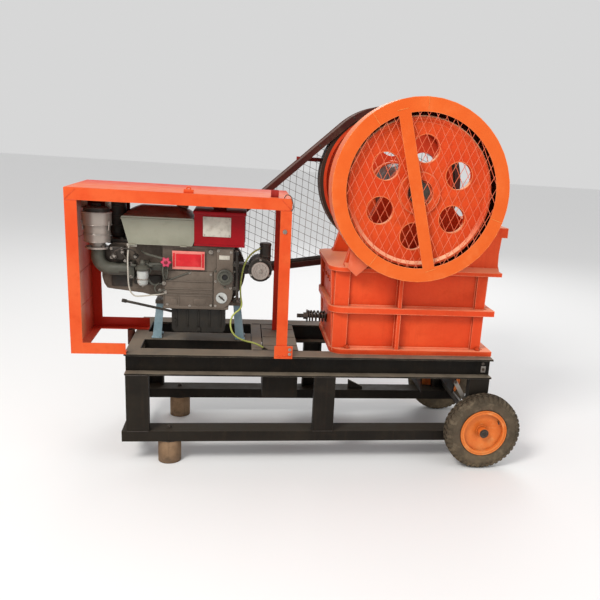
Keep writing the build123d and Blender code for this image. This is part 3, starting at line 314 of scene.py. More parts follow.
M["red"] = surface("plate_red", "#cc2028", "#b4181f", 12, "#da4a48", 0.35, 26, rough=(0.32, 0.5), bump=0.08,
                   edge="#e57a70", edge_amt=0.5, spec=0.25)
M["knob"] = surface("knob_pink", "#cf3f60", "#b93052", 18, "#dc6a80", 0.4, 40, rough=(0.3, 0.45), bump=0.05, coat=0.1)
M["knob_c"] = surface("knob_centre", "#860e1f", "#6d0a17", 18, "#a3243a", 0.4, 40, rough=(0.3, 0.45), bump=0.05)
M["bowl"] = surface("bowl_white", "#b9bab5", "#a2a4a0", 14, "#85867f", 0.4, 34, rough=(0.12, 0.25), bump=0.03,
                    coat=0.7, ao=0.3)
# painted shade: black for the shaded insides of holes and recesses
M["black"] = surface("recess_black", "#191614", "#0f0d0c", 10, "#2b2622", 0.4, 30, rough=(0.6, 0.8), bump=0.1, ao=0)
M["weld"] = surface("weld_dark", "#322a23", "#241e19", 60, "#55463a", 0.5, 120, rough=(0.35, 0.6), metallic=0.4,
                    bump=0.5, bump_scale=300)
M["weld_or"] = surface("weld_orange", "#da4e1f", "#c74216", 60, "#e87d4e", 0.5, 120, rough=(0.35, 0.6), bump=0.5,
                       bump_scale=300, spec=0.25)
M["weld_gd"] = surface("weld_guard", "#f08a42", "#e0732a", 60, "#f5ab72", 0.5, 120, rough=(0.35, 0.6), bump=0.5,
                       bump_scale=300, spec=0.25)


def paint(mat, *names):
    for n in names:
        o = nodes[n]
        if not o.material_slots:
            o.data.materials.append(M[mat])
        for s in o.material_slots:
            s.material = M[mat]
        me = o.data
        bm = bmesh.new()
        bm.from_mesh(me)
        for e in bm.edges:
            e.smooth = e.calc_face_angle(0.0) < math.radians(28) if len(e.link_faces) == 2 else False
        flags = [e.smooth for e in bm.edges]
        bm.free()
        for e, f in zip(me.edges, flags):
            e.use_edge_sharp = not f
        for p in me.polygons:
            p.use_smooth = True


paint("frame", "top_beams", "top_end_channels", "engine_rail", "engine_cross_channel", "deck_plate")
paint("rail", "front_posts", "rear_posts", "bottom_rails", "bottom_end_channels", "hanging_box")
paint("bare", "axle", "tension_rod", "eccentric_shaft")
paint("foot", "support_feet")
paint("zinc", "axle_braces")
paint("chute", "discharge_chute")
paint("rim", "front_rim", "rear_rim")
paint("cage", "cage_posts", "cage_top_long_rails", "cage_top_side_rails", "cage_bottom_rails", "cage_foot_plate", "cage_roof")
paint("cage_in", "cage_side_sheet")
paint("cast", "engine_block", "cylinder_head")
paint("sump", "engine_sump")
paint("dark", "alternator", "muffler", "engine_flywheel")
paint("elbow", "intake_elbow")
paint("leg", "engine_legs")
paint("tank", "fuel_tank")
paint("cleaner", "air_cleaner")
paint("radiator", "radiator_box")
paint("crusher", "crusher_side_front", "crusher_side_rear", "feed_end_wall", "toggle_end_wall", "bearing_housings")
paint("flywheel", "flywheel")
paint("pulley_red", "crusher_pulley")
paint("guard", "flywheel_guard")
paint("lug", "guard_lugs")
paint("guard_red", "belt_guard_frame", "belt_guard_stays")
paint("iron", "engine_pulley")
paint("jaw", "fixed_jaw", "moving_jaw", "toggle_plate")


# ------------------------------------------------------------------ mesh helpers (mm in, metres out)
def add_box(bm, lo, hi, bev=1.2, rot=None, seg=2):
    c = P(*[(a + b) / 2 for a, b in zip(lo, hi)])
    d = [abs(b - a) / 1000 for a, b in zip(lo, hi)]
    r = bmesh.ops.create_cube(bm, size=1)
    vs = r["verts"]
    mt = Matrix.Translation(c) @ (rot or Matrix.Identity(4)) @ Matrix.Diagonal((d[0], d[1], d[2], 1))
    bmesh.ops.transform(bm, matrix=mt, verts=vs)
    if bev:
        es = list({e for v in vs for e in v.link_edges})
        bmesh.ops.bevel(bm, geom=es, offset=min(bev / 1000, min(d) * 0.45), segments=seg, affect="EDGES", profile=0.5)


def axis_matrix(a, b):
    d = b - a
    q = Vector((0, 0, 1)).rotation_difference(d.normalized())
    return Matrix.Translation((a + b) / 2) @ q.to_matrix().to_4x4(), d.length


def add_cyl(bm, a, b, r, seg=24, bev=0.8, r2=None):
    a, b = P(*a), P(*b)
    mt, ln = axis_matrix(a, b)
    res = bmesh.ops.create_cone(bm, cap_ends=True, segments=seg, radius1=r / 1000,
                                radius2=(r if r2 is None else r2) / 1000, depth=ln)
    vs = res["verts"]
    bmesh.ops.transform(bm, matrix=mt, verts=vs)
    if bev:
        es = [e for e in {e for v in vs for e in v.link_edges}
              if any(len(f.verts) > 4 for f in e.link_faces)]
        bmesh.ops.bevel(bm, geom=es, offset=min(bev / 1000, ln * 0.4, r / 2500), segments=2, affect="EDGES", profile=0.5)


def add_lathe(bm, prof, origin, axis, seg=64, closed=False, phase=0.0):
    """prof is (radius, distance along the axis) in mm; axis is a unit vector from origin."""
    o = P(*origin)
    q = Vector((0, 0, 1)).rotation_difference(Vector(axis).normalized()).to_matrix()
    rings = []
    for r, h in prof:
        if r < 1e-6:
            rings.append([bm.verts.new(o + q @ Vector((0, 0, h / 1000)))])
        else:
            rings.append([bm.verts.new(o + q @ Vector((r / 1000 * math.cos(2 * math.pi * k / seg + phase),
                                                       r / 1000 * math.sin(2 * math.pi * k / seg + phase), h / 1000)))
                          for k in range(seg)])
    pairs = list(zip(rings, rings[1:]))
    if closed:
        pairs.append((rings[-1], rings[0]))
    for a, b in pairs:
        for k in range(seg):
            k2 = (k + 1) % seg
            if len(a) == 1 and len(b) == 1:
                continue
            if len(a) == 1:
                bm.faces.new((a[0], b[k], b[k2]))
            elif len(b) == 1:
                bm.faces.new((a[k], b[0], a[k2]))
            else:
                bm.faces.new((a[k], b[k], b[k2], a[k2]))


def add_tube(bm, pts, r, seg=8, closed=False, mm=True, wob=0.0):
    pts = [P(*p) if mm else Vector(p) for p in pts]
    n = len(pts)
    tang = []
    for i in range(n):
        if closed:
            t = pts[(i + 1) % n] - pts[i - 1]
        else:
            t = pts[min(i + 1, n - 1)] - pts[max(i - 1, 0)]
        tang.append(t.normalized())
    ref = Vector((0, 0, 1)) if abs(tang[0].z) < 0.9 else Vector((1, 0, 0))
    u = tang[0].cross(ref).normalized()
    rings = []
    for i in range(n):
        if i:
            q = tang[i - 1].rotation_difference(tang[i])
            u = (q @ u).normalized()
        v = tang[i].cross(u).normalized()
        rr = r / 1000 * (1 + wob * (1 if i % 2 else -1))
        rings.append([bm.verts.new(pts[i] + (u * math.cos(2 * math.pi * k / seg) + v * math.sin(2 * math.pi * k / seg)) * rr)
                      for k in range(seg)])
    m = n if closed else n - 1
    for i in range(m):
        a, b = rings[i], rings[(i + 1) % n]
        for k in range(seg):
            k2 = (k + 1) % seg
            bm.faces.new((a[k], a[k2], b[k2], b[k]))
    if not closed:
        bm.faces.new(rings[0][::-1])
        bm.faces.new(rings[-1])


def smooth_pts(ctrl, per=8):
    """Points of a Catmull-Rom curve through ctrl."""
    c = [Vector(p) for p in ctrl]
    c = [c[0] * 2 - c[1]] + c + [c[-1] * 2 - c[-2]]
    out = []
    for i in range(1, len(c) - 2):
        p0, p1, p2, p3 = c[i - 1:i + 3]
        for k in range(per):
            t = k / per
            out.append(0.5 * ((2 * p1) + (p2 - p0) * t + (2 * p0 - 5 * p1 + 4 * p2 - p3) * t * t
                              + (3 * p1 - p0 - 3 * p2 + p3) * t ** 3))
    out.append(c[-2])
    return out


def add_plate(bm, pts, y0, y1, bev=1.0):
    """Flat plate: outline (X, Z) pulled from depth y0 to y1."""
    f0 = [bm.verts.new(P(x, y0, z)) for x, z in pts]
    f1 = [bm.verts.new(P(x, y1, z)) for x, z in pts]
    n = len(pts)
    faces = [bm.faces.new(f0), bm.faces.new(f1[::-1])]
    for k in range(n):
        faces.append(bm.faces.new((f0[k], f1[k], f1[(k + 1) % n], f0[(k + 1) % n])))
    bmesh.ops.recalc_face_normals(bm, faces=faces)
    if bev:
        es = list({e for f in faces[:2] for e in f.edges})
        bmesh.ops.bevel(bm, geom=es, offset=bev / 1000, segments=2, affect="EDGES", profile=0.5)


def add_bolt(bm, p, n, d=12, washer=True, stud=False):
    """Hex bolt of thread size d: washer, head with a chamfered top, standing on the surface at p along n."""
    n = Vector(n).normalized()
    p = Vector(p)
    h0 = 0.0
    ph = random.random() * 6.28
    if washer:
        add_lathe(bm, [(0, -0.5), (1.1 * d, -0.5), (1.1 * d, 0.14 * d), (0.5 * d, 0.17 * d), (0, 0.17 * d)], p, n, 24)
        h0 = 0.16 * d
    add_lathe(bm, [(0, h0 - 0.5), (0.92 * d, h0 - 0.5), (0.92 * d, h0 + 0.5 * d), (0.78 * d, h0 + 0.62 * d), (0, h0 + 0.64 * d)],
              p, n, 6, phase=ph)
    if stud:
        add_lathe(bm, [(0, h0 + 0.5 * d), (0.5 * d, h0 + 0.5 * d), (0.5 * d, h0 + 0.92 * d), (0.4 * d, h0 + 1.0 * d),
                       (0, h0 + 1.0 * d)], p, n, 14)


def add_weld(bm, a, b, r=3.0):
    a, b = Vector(a), Vector(b)
    n = max(3, int((b - a).length / 4))
    add_tube(bm, [a + (b - a) * i / n for i in range(n + 1)], r, 6, wob=0.16)


def piece(name, bm, mat, body="machine", angle=35):
    bmesh.ops.recalc_face_normals(bm, faces=bm.faces)
    for e in bm.edges:
        e.smooth = e.calc_face_angle(0.0) < math.radians(angle) if len(e.link_faces) == 2 else True
    for f in bm.faces:
        f.smooth = True
    me = bpy.data.meshes.new(name)
    bm.to_mesh(me)
    bm.free()
    o = bpy.data.objects.new(name, me)
    me.materials.append(M[mat])
    SC.collection.objects.link(o)
    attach(o, body)
    return o


def new():
    return bmesh.new()


# ------------------------------------------------------------------ generator wire
WIRE = [(596, 197.5, 1006), (560, 172, 994), (524, 150, 940), (510, 140, 868), (508, 134, 797),
        (521, 130, 735), (472, 126, 700), (463, 124, 648), (481, 121, 602), (530, 118, 576),
        (585, 117, 568), (621, 116, 546)]
cu = bpy.data.curves.new("generator_lead", "CURVE")
cu.dimensions = "3D"
sp = cu.splines.new("NURBS")
sp.points.add(len(WIRE) - 1)
for pt, w in zip(sp.points, WIRE):
    pt.co = (*P(*w), 1)
sp.order_u = 3
sp.use_endpoint_u = True
sp.resolution_u = 12
cu.bevel_depth = 0.004
cu.bevel_resolution = 4
lead = bpy.data.objects.new("generator_lead", cu)
SC.collection.objects.link(lead)
cu.materials.append(M["sheath"])
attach(lead, "machine")
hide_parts("generator_wire")
tuple(P(*WIRE[0]))

# ------------------------------------------------------------------ wheels
AX, AZ = 1697, 189


def wheel(tag, ym, out, body):
    ax = (0, out, 0)
    bm = new()
    prof = [(103, -30), (117, -31), (121, -35), (127, -38), (134, -39.5), (141, -41.5), (150, -42), (153, -43), (156, -42),
            (166, -41), (174, -38), (180, -33), (183, -27), (184.2, -18), (184.8, -9), (185, 0), (184.8, 9), (184.2, 18),
            (183, 27), (180, 33), (174, 38), (166, 41), (156, 42), (153, 43), (150, 42), (141, 41.5), (134, 39.5), (127, 38),
            (121, 35), (117, 31), (103, 30)]
    add_lathe(bm, prof, (AX, ym, AZ), ax, 120, closed=True)
    # tread: two staggered rows of slanted blocks, and lugs that run down each shoulder
    K = 44
    for k in range(K):
        for row, (h0, h1, sk) in enumerate(((2.5, 19, 0.045), (-19, -2.5, -0.045))):
            a = 2 * math.pi * (k + 0.5 * row) / K
            w = 2 * math.pi / K * 0.31
            q = Vector((0, 0, 1)).rotation_difference(Vector(ax)).to_matrix()
            lo, hi = [], []
            for (aa, hh) in ((a - w, h0), (a + w, h0), (a + w + sk, h1), (a - w + sk, h1)):
                for lst, r in ((lo, 183.2), (hi, 188.8)):
                    lst.append(bm.verts.new(P(AX, ym, AZ) + q @ Vector((r / 1000 * math.cos(aa), r / 1000 * math.sin(aa), hh / 1000))))
            bm.faces.new(hi)
            for i in range(4):
                bm.faces.new((lo[i], lo[(i + 1) % 4], hi[(i + 1) % 4], hi[i]))
            bm.faces.new(lo[::-1])
        for s in (-1, 1):
            a = 2 * math.pi * (k + 0.25 + 0.25 * s) / K
            w = 2 * math.pi / K * 0.27
            q = Vector((0, 0, 1)).rotation_difference(Vector(ax)).to_matrix()
            sec = [(188.2, 21), (186.6, 30), (181.5, 37), (172, 41.5), (163, 43.3)]
            sec0 = [(182.5, 21), (181.5, 28), (177, 33), (170, 36.5), (163, 39)]
            vo = [[bm.verts.new(P(AX, ym, AZ) + q @ Vector((r / 1000 * math.cos(a + dw), r / 1000 * math.sin(a + dw), s * h / 1000)))
                   for r, h in sec] for dw in (-w, w)]
            vi = [[bm.verts.new(P(AX, ym, AZ) + q @ Vector((r / 1000 * math.cos(a + dw), r / 1000 * math.sin(a + dw), s * h / 1000)))
                   for r, h in sec0] for dw in (-w, w)]
            for i in range(4):
                bm.faces.new((vo[0][i], vo[1][i], vo[1][i + 1], vo[0][i + 1]))
                bm.faces.new((vi[0][i], vi[0][i + 1], vi[1][i + 1], vi[1][i]))
                for j in (0, 1):
                    bm.faces.new((vo[j][i], vo[j][i + 1], vi[j][i + 1], vi[j][i]))
            bm.faces.new((vo[0][0], vo[1][0], vi[1][0], vi[0][0]))
            bm.faces.new((vo[0][4], vo[1][4], vi[1][4], vi[0][4]))
    t = piece("tyre_tread_" + tag, bm, "tyre", body, 30)
    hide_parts(tag + "_tyre")
    # rim details: rolled beads, pressed ring and weld round the hub, valve
    bm = new()
    for s in (-1, 1):
        ring = [(114 + 3.2 * math.cos(u), s * 35.5 + 3.2 * math.sin(u)) for u in [2 * math.pi * i / 10 for i in range(10)]]
        add_lathe(bm, ring, (AX, ym, AZ), ax, 72, closed=True)
    c = 10.5
    ring = [(74 + 3.5 * math.cos(u), 8 + 3.5 * math.sin(u)) for u in [2 * math.pi * i / 8 for i in range(8)]]
    add_lathe(bm, ring, (AX, ym, AZ), ax, 64, closed=True)
    ring = [(26 + 3.5 * math.cos(u), 1.5 + 3.5 * math.sin(u)) for u in [2 * math.pi * i / 8 for i in range(8)]]
    add_lathe(bm, ring, (AX, ym, AZ), ax, 40, closed=True)
    piece("rim_beads_" + tag, bm, "rim", body)
    bm = new()
    a = 0.6
    add_cyl(bm, (AX + 92 * math.cos(a), ym + out * 10, AZ + 92 * math.sin(a)),
            (AX + 88 * math.cos(a), ym + out * 30, AZ + 88 * math.sin(a)), 3.2, 12, 0.5)
    add_cyl(bm, (AX + 88 * math.cos(a), ym + out * 28, AZ + 88 * math.sin(a)),
            (AX + 87 * math.cos(a), ym + out * 36, AZ + 87 * math.sin(a)), 4.2, 12, 0.8)
    piece("tyre_valve_" + tag, bm, "bolt_dark", body)
    # washer, collar and split pin on the axle end
    bm = new()
    ye = ym + out * 40.6
    add_lathe(bm, [(15.3, 0), (22, 0), (22, 2.2), (15.3, 2.2)], (AX, ye, AZ), ax, 36, closed=True)
    add_lathe(bm, [(0, 1.5), (13.2, 1.5), (13.2, 4.6), (11.5, 6.2), (4, 6.2), (4, 4.4), (0, 4.4)], (AX, ye, AZ), ax, 32)
    add_cyl(bm, (AX - 20, ye + out * 4.2, AZ + 3), (AX + 20, ye + out * 4.2, AZ - 3), 1.6, 8, 0.3)
    piece("axle_end_" + tag, bm, "bolt_dark", "machine")


wheel("front", -54, -1, "front_wheel")
wheel("rear", 731, 1, "rear_wheel")

# ------------------------------------------------------------------ flywheel guard: diamond mesh, clamp ring, painted-shade shell inside the drum, back lip, welds
GX, GZ = 1283, 1326
bm = new()
RM = 388.0
for s in (1, -1):
    sl = math.radians(63.5)
    d = Vector((math.cos(sl) * s, 0, math.sin(sl)))
    for k in range(-22, 23):
        x0 = k * 40.0
        # line through (GX + x0, GZ) along d, cut by the circle of radius RM
        bq = x0 * d.x
        disc = bq * bq - (x0 * x0 - RM * RM)
        if disc <= 0:
            continue
        t0, t1 = -bq - math.sqrt(disc), -bq + math.sqrt(disc)
        if t1 - t0 < 30:
            continue
        y = -80.9 if s > 0 else -79.0
        n = max(2, int((t1 - t0) / 22.4))
        pts = []
        for i in range(n + 1):
            t = t0 + (t1 - t0) * i / n
            pts.append((GX + x0 + d.x * t, y + (0.5 if i % 2 else -0.5), GZ + d.z * t))
        add_tube(bm, pts, 1.25, 6)
g_mesh = piece("guard_diamond_mesh", bm, "wire_front", "machine", 60)
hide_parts("flywheel_guard_mesh")
bm = new()
# flat ring that clamps the mesh on the inside, and its tack welds
add_lathe(bm, [(352, 0), (392, 0), (392, 2.5), (352, 2.5)], (GX, -76, GZ), (0, 1, 0), 120, closed=True)
piece("guard_clamp_ring", bm, "guard", "machine")
bm = new()
# painted shade: dark shell lining the inside of the drum and the inward lip at its back, coloured as the drum's shaded
# inside
add_lathe(bm, [(392.6, -73), (392.6, 46), (324, 46), (324, 44.2), (391.2, 44.2), (391.2, -73)], (GX, 0, GZ), (0, 1, 0), 120, closed=True)
piece("guard_shade_lining", bm, "inner_drum_shade", "machine")
bm = new()
add_lathe(bm, [(323, 46), (396, 46), (396, 48.5), (323, 48.5)], (GX, 0, GZ), (0, 1, 0), 120, closed=True)
piece("guard_back_lip", bm, "guard", "machine")
bm = new()
for (xa, za, xb, zb) in ((1093, 1030.2, 1055.4, 988.4), (1598, 1231, 1637.6, 1215.2), (1277.3, 1722, 1282.3, 1664), (1039.9, 1638.7, 1071.7, 1613)):
    ca, cb = Vector((xa - GX, 0, za - GZ)), Vector((xb - GX, 0, zb - GZ))
    ua = ca.normalized()
    pa, pb = ua * 338, ua * 395
    add_weld(bm, (GX + pa.x, -86.2, GZ + pa.z), (GX + pb.x, -86.2, GZ + pb.z), 1.5)
for (xa, za) in ((1168, 1650), (1352, 985)):
    add_weld(bm, (xa - 24, -86.2, za - 8 + (14 if za > 1300 else -2)), (xa + 24, -86.2, za + (20 if za > 1300 else 8)), 1.6)
for i in range(40):
    a = 2 * math.pi * i / 40
    a2 = a + 0.05
    add_weld(bm, (GX + 396.5 * math.cos(a), -85.0, GZ + 396.5 * math.sin(a)),
             (GX + 396.5 * math.cos(a2), -85.0, GZ + 396.5 * math.sin(a2)), 1.4)
piece("guard_welds", bm, "weld_gd", "machine")

# ------------------------------------------------------------------ belt drive loop geometry
EX, EZ, ER = 335.0, 860.0, 72.0
CX, CZ, CR = 1280.0, 1319.0, 371.0


def loop(d, nb=72, ns=20, na=28):
    """Points (X, Z) round a loop that stands d off both pulleys."""
    r1, r2 = ER + d, CR + d
    dist = math.hypot(CX - EX, CZ - EZ)
    base = math.atan2(CZ - EZ, CX - EX)
    a = math.asin((r2 - r1) / dist)
    up, dn = base + a + math.pi / 2, base - a - math.pi / 2
    pts = []
    for i in range(nb + 1):                    # round the big pulley from top tangent to bottom tangent
        t = up + (dn - up) * i / nb
        pts.append((CX + r2 * math.cos(t), CZ + r2 * math.sin(t)))
    e = (EX + r1 * math.cos(dn), EZ + r1 * math.sin(dn))
    for i in range(1, ns):
        pts.append((pts[nb][0] + (e[0] - pts[nb][0]) * i / ns, pts[nb][1] + (e[1] - pts[nb][1]) * i / ns))
    up2 = up - 2 * math.pi
    for i in range(na + 1):                    # round the small pulley
        t = dn + (up2 - dn) * i / na
        pts.append((EX + r1 * math.cos(t), EZ + r1 * math.sin(t)))
    s, f = pts[-1], pts[0]
    for i in range(1, ns):
        pts.append((s[0] + (f[0] - s[0]) * i / ns, s[1] + (f[1] - s[1]) * i / ns))
    return pts


bm = new()
for yc in (675, 705, 735):
    rows = []
    for d, w in ((-0.5, 7.6), (-1.2, 8.1), (-2.4, 8.0), (-11.6, 5.6), (-12.4, 5.0)):
        rows.append([(d, yc - w), (d, yc + w)])
    prof = [r[0] for r in rows] + [r[1] for r in rows[::-1]]
    rings = []
    for d, y in prof:
        rings.append([bm.verts.new(P(x, y, z)) for x, z in loop(d)])
    for a, b in zip(rings, rings[1:] + rings[:1]):
        n = len(a)
        for k in range(n):
            bm.faces.new((a[k], b[k], b[(k + 1) % n], a[(k + 1) % n]))
belts = piece("v_belts", bm, "belt", "machine", 40)
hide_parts("drive_belts")

# rear mesh: near-upright wires and a second set sloping down to the right
bm = new()


def inside(x, z, d):
    if math.hypot(x - EX, z - EZ) <= ER + d or math.hypot(x - CX, z - CZ) <= CR + d:
        return True
    r1, r2 = ER + d, CR + d
    dist = math.hypot(CX - EX, CZ - EZ)
    ux, uz = (CX - EX) / dist, (CZ - EZ) / dist
    s = (x - EX) * ux + (z - EZ) * uz
    o = abs(-(x - EX) * uz + (z - EZ) * ux)
    sa = (r2 - r1) / dist
    ca = math.sqrt(1 - sa * sa)
    # between the two outer tangents
    s1, s2 = -r1 * sa, dist - r2 * sa
    if s < s1 or s > s2:
        return False
    return o <= (r1 + s * sa) / ca


def clip(x, z, dx, dz, d):
    ts = [t for t in range(-1700, 1701, 4) if inside(x + dx * t, z + dz * t, d)]
    return (min(ts), max(ts)) if len(ts) > 3 else None


for k in range(-4, 46):
    x = 215 + k * 34.0
    c = clip(x, 1200, 0.035, 1.0, 12)
    if c:
        n = max(2, int((c[1] - c[0]) / 38))
        add_tube(bm, [(x + 0.035 * (c[0] + (c[1] - c[0]) * i / n), 784.9 + (0.4 if i % 2 else -0.4), 1200 + (c[0] + (c[1] - c[0]) * i / n)) for i in range(n + 1)], 1.15, 6)
sl = math.radians(-22)
for k in range(-30, 40):
    z = 700 + k * 41.0
    c = clip(900, z, math.cos(sl), math.sin(sl), 12)
    if c:
        n = max(2, int((c[1] - c[0]) / 37))
        add_tube(bm, [(900 + math.cos(sl) * (c[0] + (c[1] - c[0]) * i / n), 786.4 + (0.4 if i % 2 else -0.4), z + math.sin(sl) * (c[0] + (c[1] - c[0]) * i / n)) for i in range(n + 1)], 1.15, 6)
r_mesh = piece("belt_guard_wires", bm, "wire_rear", "machine", 60)
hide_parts("belt_guard_mesh")

# rolled edges of the belt guard, its bolts and the bar across it
bm = new()
for y in (629.5, 788.5):
    add_tube(bm, [(x, y, z) for x, z in loop(17.5)], 3.0, 8, closed=True)
piece("belt_guard_edging", bm, "guard_red", "machine")
bm = new()
lp = loop(9.0, 24, 6, 8)
for i in range(0, len(lp), 3):
    add_bolt(bm, (lp[i][0], 787.0, lp[i][1]), (0, 1, 0), 5)
for i in range(1, len(lp), 3):
    add_bolt(bm, (lp[i][0], 628.0, lp[i][1]), (0, -1, 0), 5)
piece("belt_guard_screws", bm, "bolt_dark", "machine")
bm = new()
add_box(bm, (792, 779.5, 1400), (1010, 783.8, 1421), 0.8)
piece("belt_guard_bar", bm, "red_bar", "machine")

# ------------------------------------------------------------------ tension spring and rod
bm = new()
yr, zr = (100 + 577) / 2, 652
turns, x0, x1, rr, rw = 6.0, 851.0, 941.0, 25.5, 4.2
n = int(turns * 22)
pts = []
for i in range(n + 1):
    u = i / n
    # closed, ground ends
    v = u + 0.045 * math.sin(2 * math.pi * u) * -1
    a = 2 * math.pi * turns * u
    pts.append((x0 + (x1 - x0) * v, yr + rr * math.cos(a), zr + rr * math.sin(a)))
add_tube(bm, pts, rw, 10)
spring = piece("tension_coil", bm, "bare", "machine", 50)
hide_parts("tension_spring")
bm = new()
for i in range(13):
    x = 796 + i * 2.4
    add_lathe(bm, [(9.4, 0), (10.7, 0.9), (9.4, 1.8)], (x, yr, zr), (1, 0, 0), 24)
add_lathe(bm, [(10, 0), (28, 0), (31, 2), (31, 5), (10, 5)], (846.8, yr, zr), (-1, 0, 0), 36)
piece("rod_thread", bm, "bare", "machine")

# ------------------------------------------------------------------ crusher details
bm = new()
for x, yy in ((1018, 79), (1300, 79), (1674, 79), (1018, 598), (1300, 598), (1674, 598)):
    if x == 1300 and yy == 79:
        continue
    add_bolt(bm, (x, yy, 562), (0, 0, 1), 13, stud=True)
# bearing caps: bolts round each cover
for y, s in ((42, -1), (631, 1)):
    for i in range(6):
        a = math.pi / 6 + i * math.pi / 3
        add_bolt(bm, (1280 + 86 * math.cos(a), y, 1319 + 86 * math.sin(a)), (0, s, 0), 9, washer=False)
# end-wall flange bolts
for yy in (170, 255, 340, 425, 505):
    add_bolt(bm, (1746, yy, 948), (1, 0, 0), 9)
    add_bolt(bm, (1690, yy, 650), (1, 0, 0), 11)
    add_bolt(bm, (945, yy, 860), (-1, 0, 0), 11)
piece("crusher_bolts", bm, "bolt_orange", "machine")
bm = new()
for y, s in ((42, -1), (631, 1)):
    add_lathe(bm, [(62, 0), (98, 0), (100, 1.5), (100, 6), (90, 8), (72, 8), (66, 4), (62, 4)], (1280, y, 1319), (0, s * 0.55, 0), 64, closed=True)
add_box(bm, (1262, 88, 1422), (1298, 132, 1436), 3)
add_box(bm, (1262, 545, 1422), (1298, 590, 1436), 3)
# cast fillet beads where flanges and rib meet the front and rear walls
for yy, s in ((100, -1), (577, 1)):
    for z in (562, 738, 768, 936):
        add_tube(bm, [(1000 + 64 * i, yy + s * 1.0, z) for i in range(12)], 5.5, 8)
    for x in (1248, 1270, 1637):
        add_tube(bm, [(x, yy + s * 1.0, 566 + 61 * i) for i in range(7)], 4.0, 8)
piece("crusher_castings", bm, "crusher", "machine")
# ribbed jaw faces
bm = new()
for i in range(10):
    y = 156 + i * 40.5
    pts = [(1606.5, y - 18, None), (1601, y - 7, None), (1601, y + 7, None), (1606.5, y + 18, None)]
    a = [bm.verts.new(P(px, py, 606)) for px, py, _ in pts]
    b = [bm.verts.new(P(px, py, 1112)) for px, py, _ in pts]
    for k in range(3):
        bm.faces.new((a[k], a[k + 1], b[k + 1], b[k]))
    bm.faces.new(a)
    bm.faces.new(b[::-1])
    bm.faces.new((a[3], a[0], b[0], b[3]))
dj = Vector((1560 - 1384, 0, 620 - 1290)).normalized()
nj = Vector((-dj.z, 0, dj.x)) * -1
nj = Vector((abs(dj.z), 0, abs(dj.x)))
for i in range(10):
    y = 160 + i * 39.5
    A0, B0 = Vector((1384, 0, 1290)) + dj * 90, Vector((1384, 0, 1290)) + dj * 680
    ring = []
    for C in (A0, B0):
        row = []
        for dy, h in ((-16, -0.5), (-6, 5.0), (6, 5.0), (16, -0.5)):
            q = C + nj * h
            row.append(bm.verts.new(P(q.x, y + dy, q.z)))
        ring.append(row)
    for k in range(3):
        bm.faces.new((ring[0][k], ring[0][k + 1], ring[1][k + 1], ring[1][k]))
    bm.faces.new(ring[0])
    bm.faces.new(ring[1][::-1])
    bm.faces.new((ring[0][3], ring[0][0], ring[1][0], ring[1][3]))
piece("jaw_teeth", bm, "jaw", "machine", 20)

# flywheel: key, centre of the shaft and a cap on its far end
bm = new()
add_box(bm, (1274, -46, 1360), (1290, -37.5, 1376), 1.2)
add_lathe(bm, [(0, 1), (7, 1), (7, -0.5), (30, -0.5), (34, -1), (38, -1), (38, 1.0), (0, 1.0)], (1280, -38.2, 1319), (0, 1, 0), 40)
add_lathe(bm, [(0, -1), (9, -1), (9, 2), (0, 2)], (1280, 770, 1319), (0, 1, 0), 24)
piece("shaft_end", bm, "bare", "crusher_rotor")
# raised rings round the hub and the six holes; their paler orange is a painted highlight on the rims
bm = new()
ring = [(92 + 3.5 * math.cos(u), -46 + 3.5 * math.sin(u)) for u in [2 * math.pi * i / 8 for i in range(8)]]
add_lathe(bm, ring, (1280, 0, 1319), (0, 1, 0), 72, closed=True)
for i in range(6):
    a = math.radians(26 + 60 * i)
    cx, cz = 1280 + 192 * math.cos(a), 1319 + 192 * math.sin(a)
    ring = [(61.5 + 2.2 * math.cos(u), -45.6 + 2.2 * math.sin(u)) for u in [2 * math.pi * j / 8 for j in range(8)]]
    add_lathe(bm, ring, (cx, 0, cz), (0, 1, 0), 48, closed=True)
piece("flywheel_lips", bm, "hole_lip_highlight", "crusher_rotor")

# ------------------------------------------------------------------ cage details
bm = new()
add_bolt(bm, (697.7, 0, 1115.2), (0, -1, 0), 9)
for z in (552, 574):
    add_bolt(bm, (739, -6, z), (0, -1, 0), 7)
piece("cage_bolts", bm, "bolt", "machine")
bm = new()
W = 1258
for x, y in ((-221, 0), (726, 0), (-221, 468), (726, 468)):
    sx = 1 if x < 0 else -1
    sy = 1 if y < 100 else -1
    yo = y - sy * 0.3
    add_weld(bm, (x + sx * 2, yo, W - 50), (x + sx * 49, yo, W - 50), 1.6)
    add_weld(bm, (x - sx * 0.3, y + sy * 3, W - 50), (x - sx * 0.3, y + sy * 48, W - 50), 1.6)
    add_weld(bm, (x + sx * 3, yo, W - 47), (x + sx * 46, yo, W - 4), 1.4)
add_weld(bm, (4, 2, 538.5), (12, 2, 538.5), 3)
for x in (676,):
    add_weld(bm, (x - 8, 2, 539), (x + 34, 2, 539), 3)
for (x, z) in ((690, 540), (704, 543), (716, 541), (728, 546), (681, 545), (742, 538)):
    add_lathe(bm, [(0, 3.2), (3.5, 2.4), (5.5, 0), (0, -1)], (x, -6, z), (0, -1, 0), 12)
piece("cage_welds", bm, "weld_or", "machine")
bm = new()
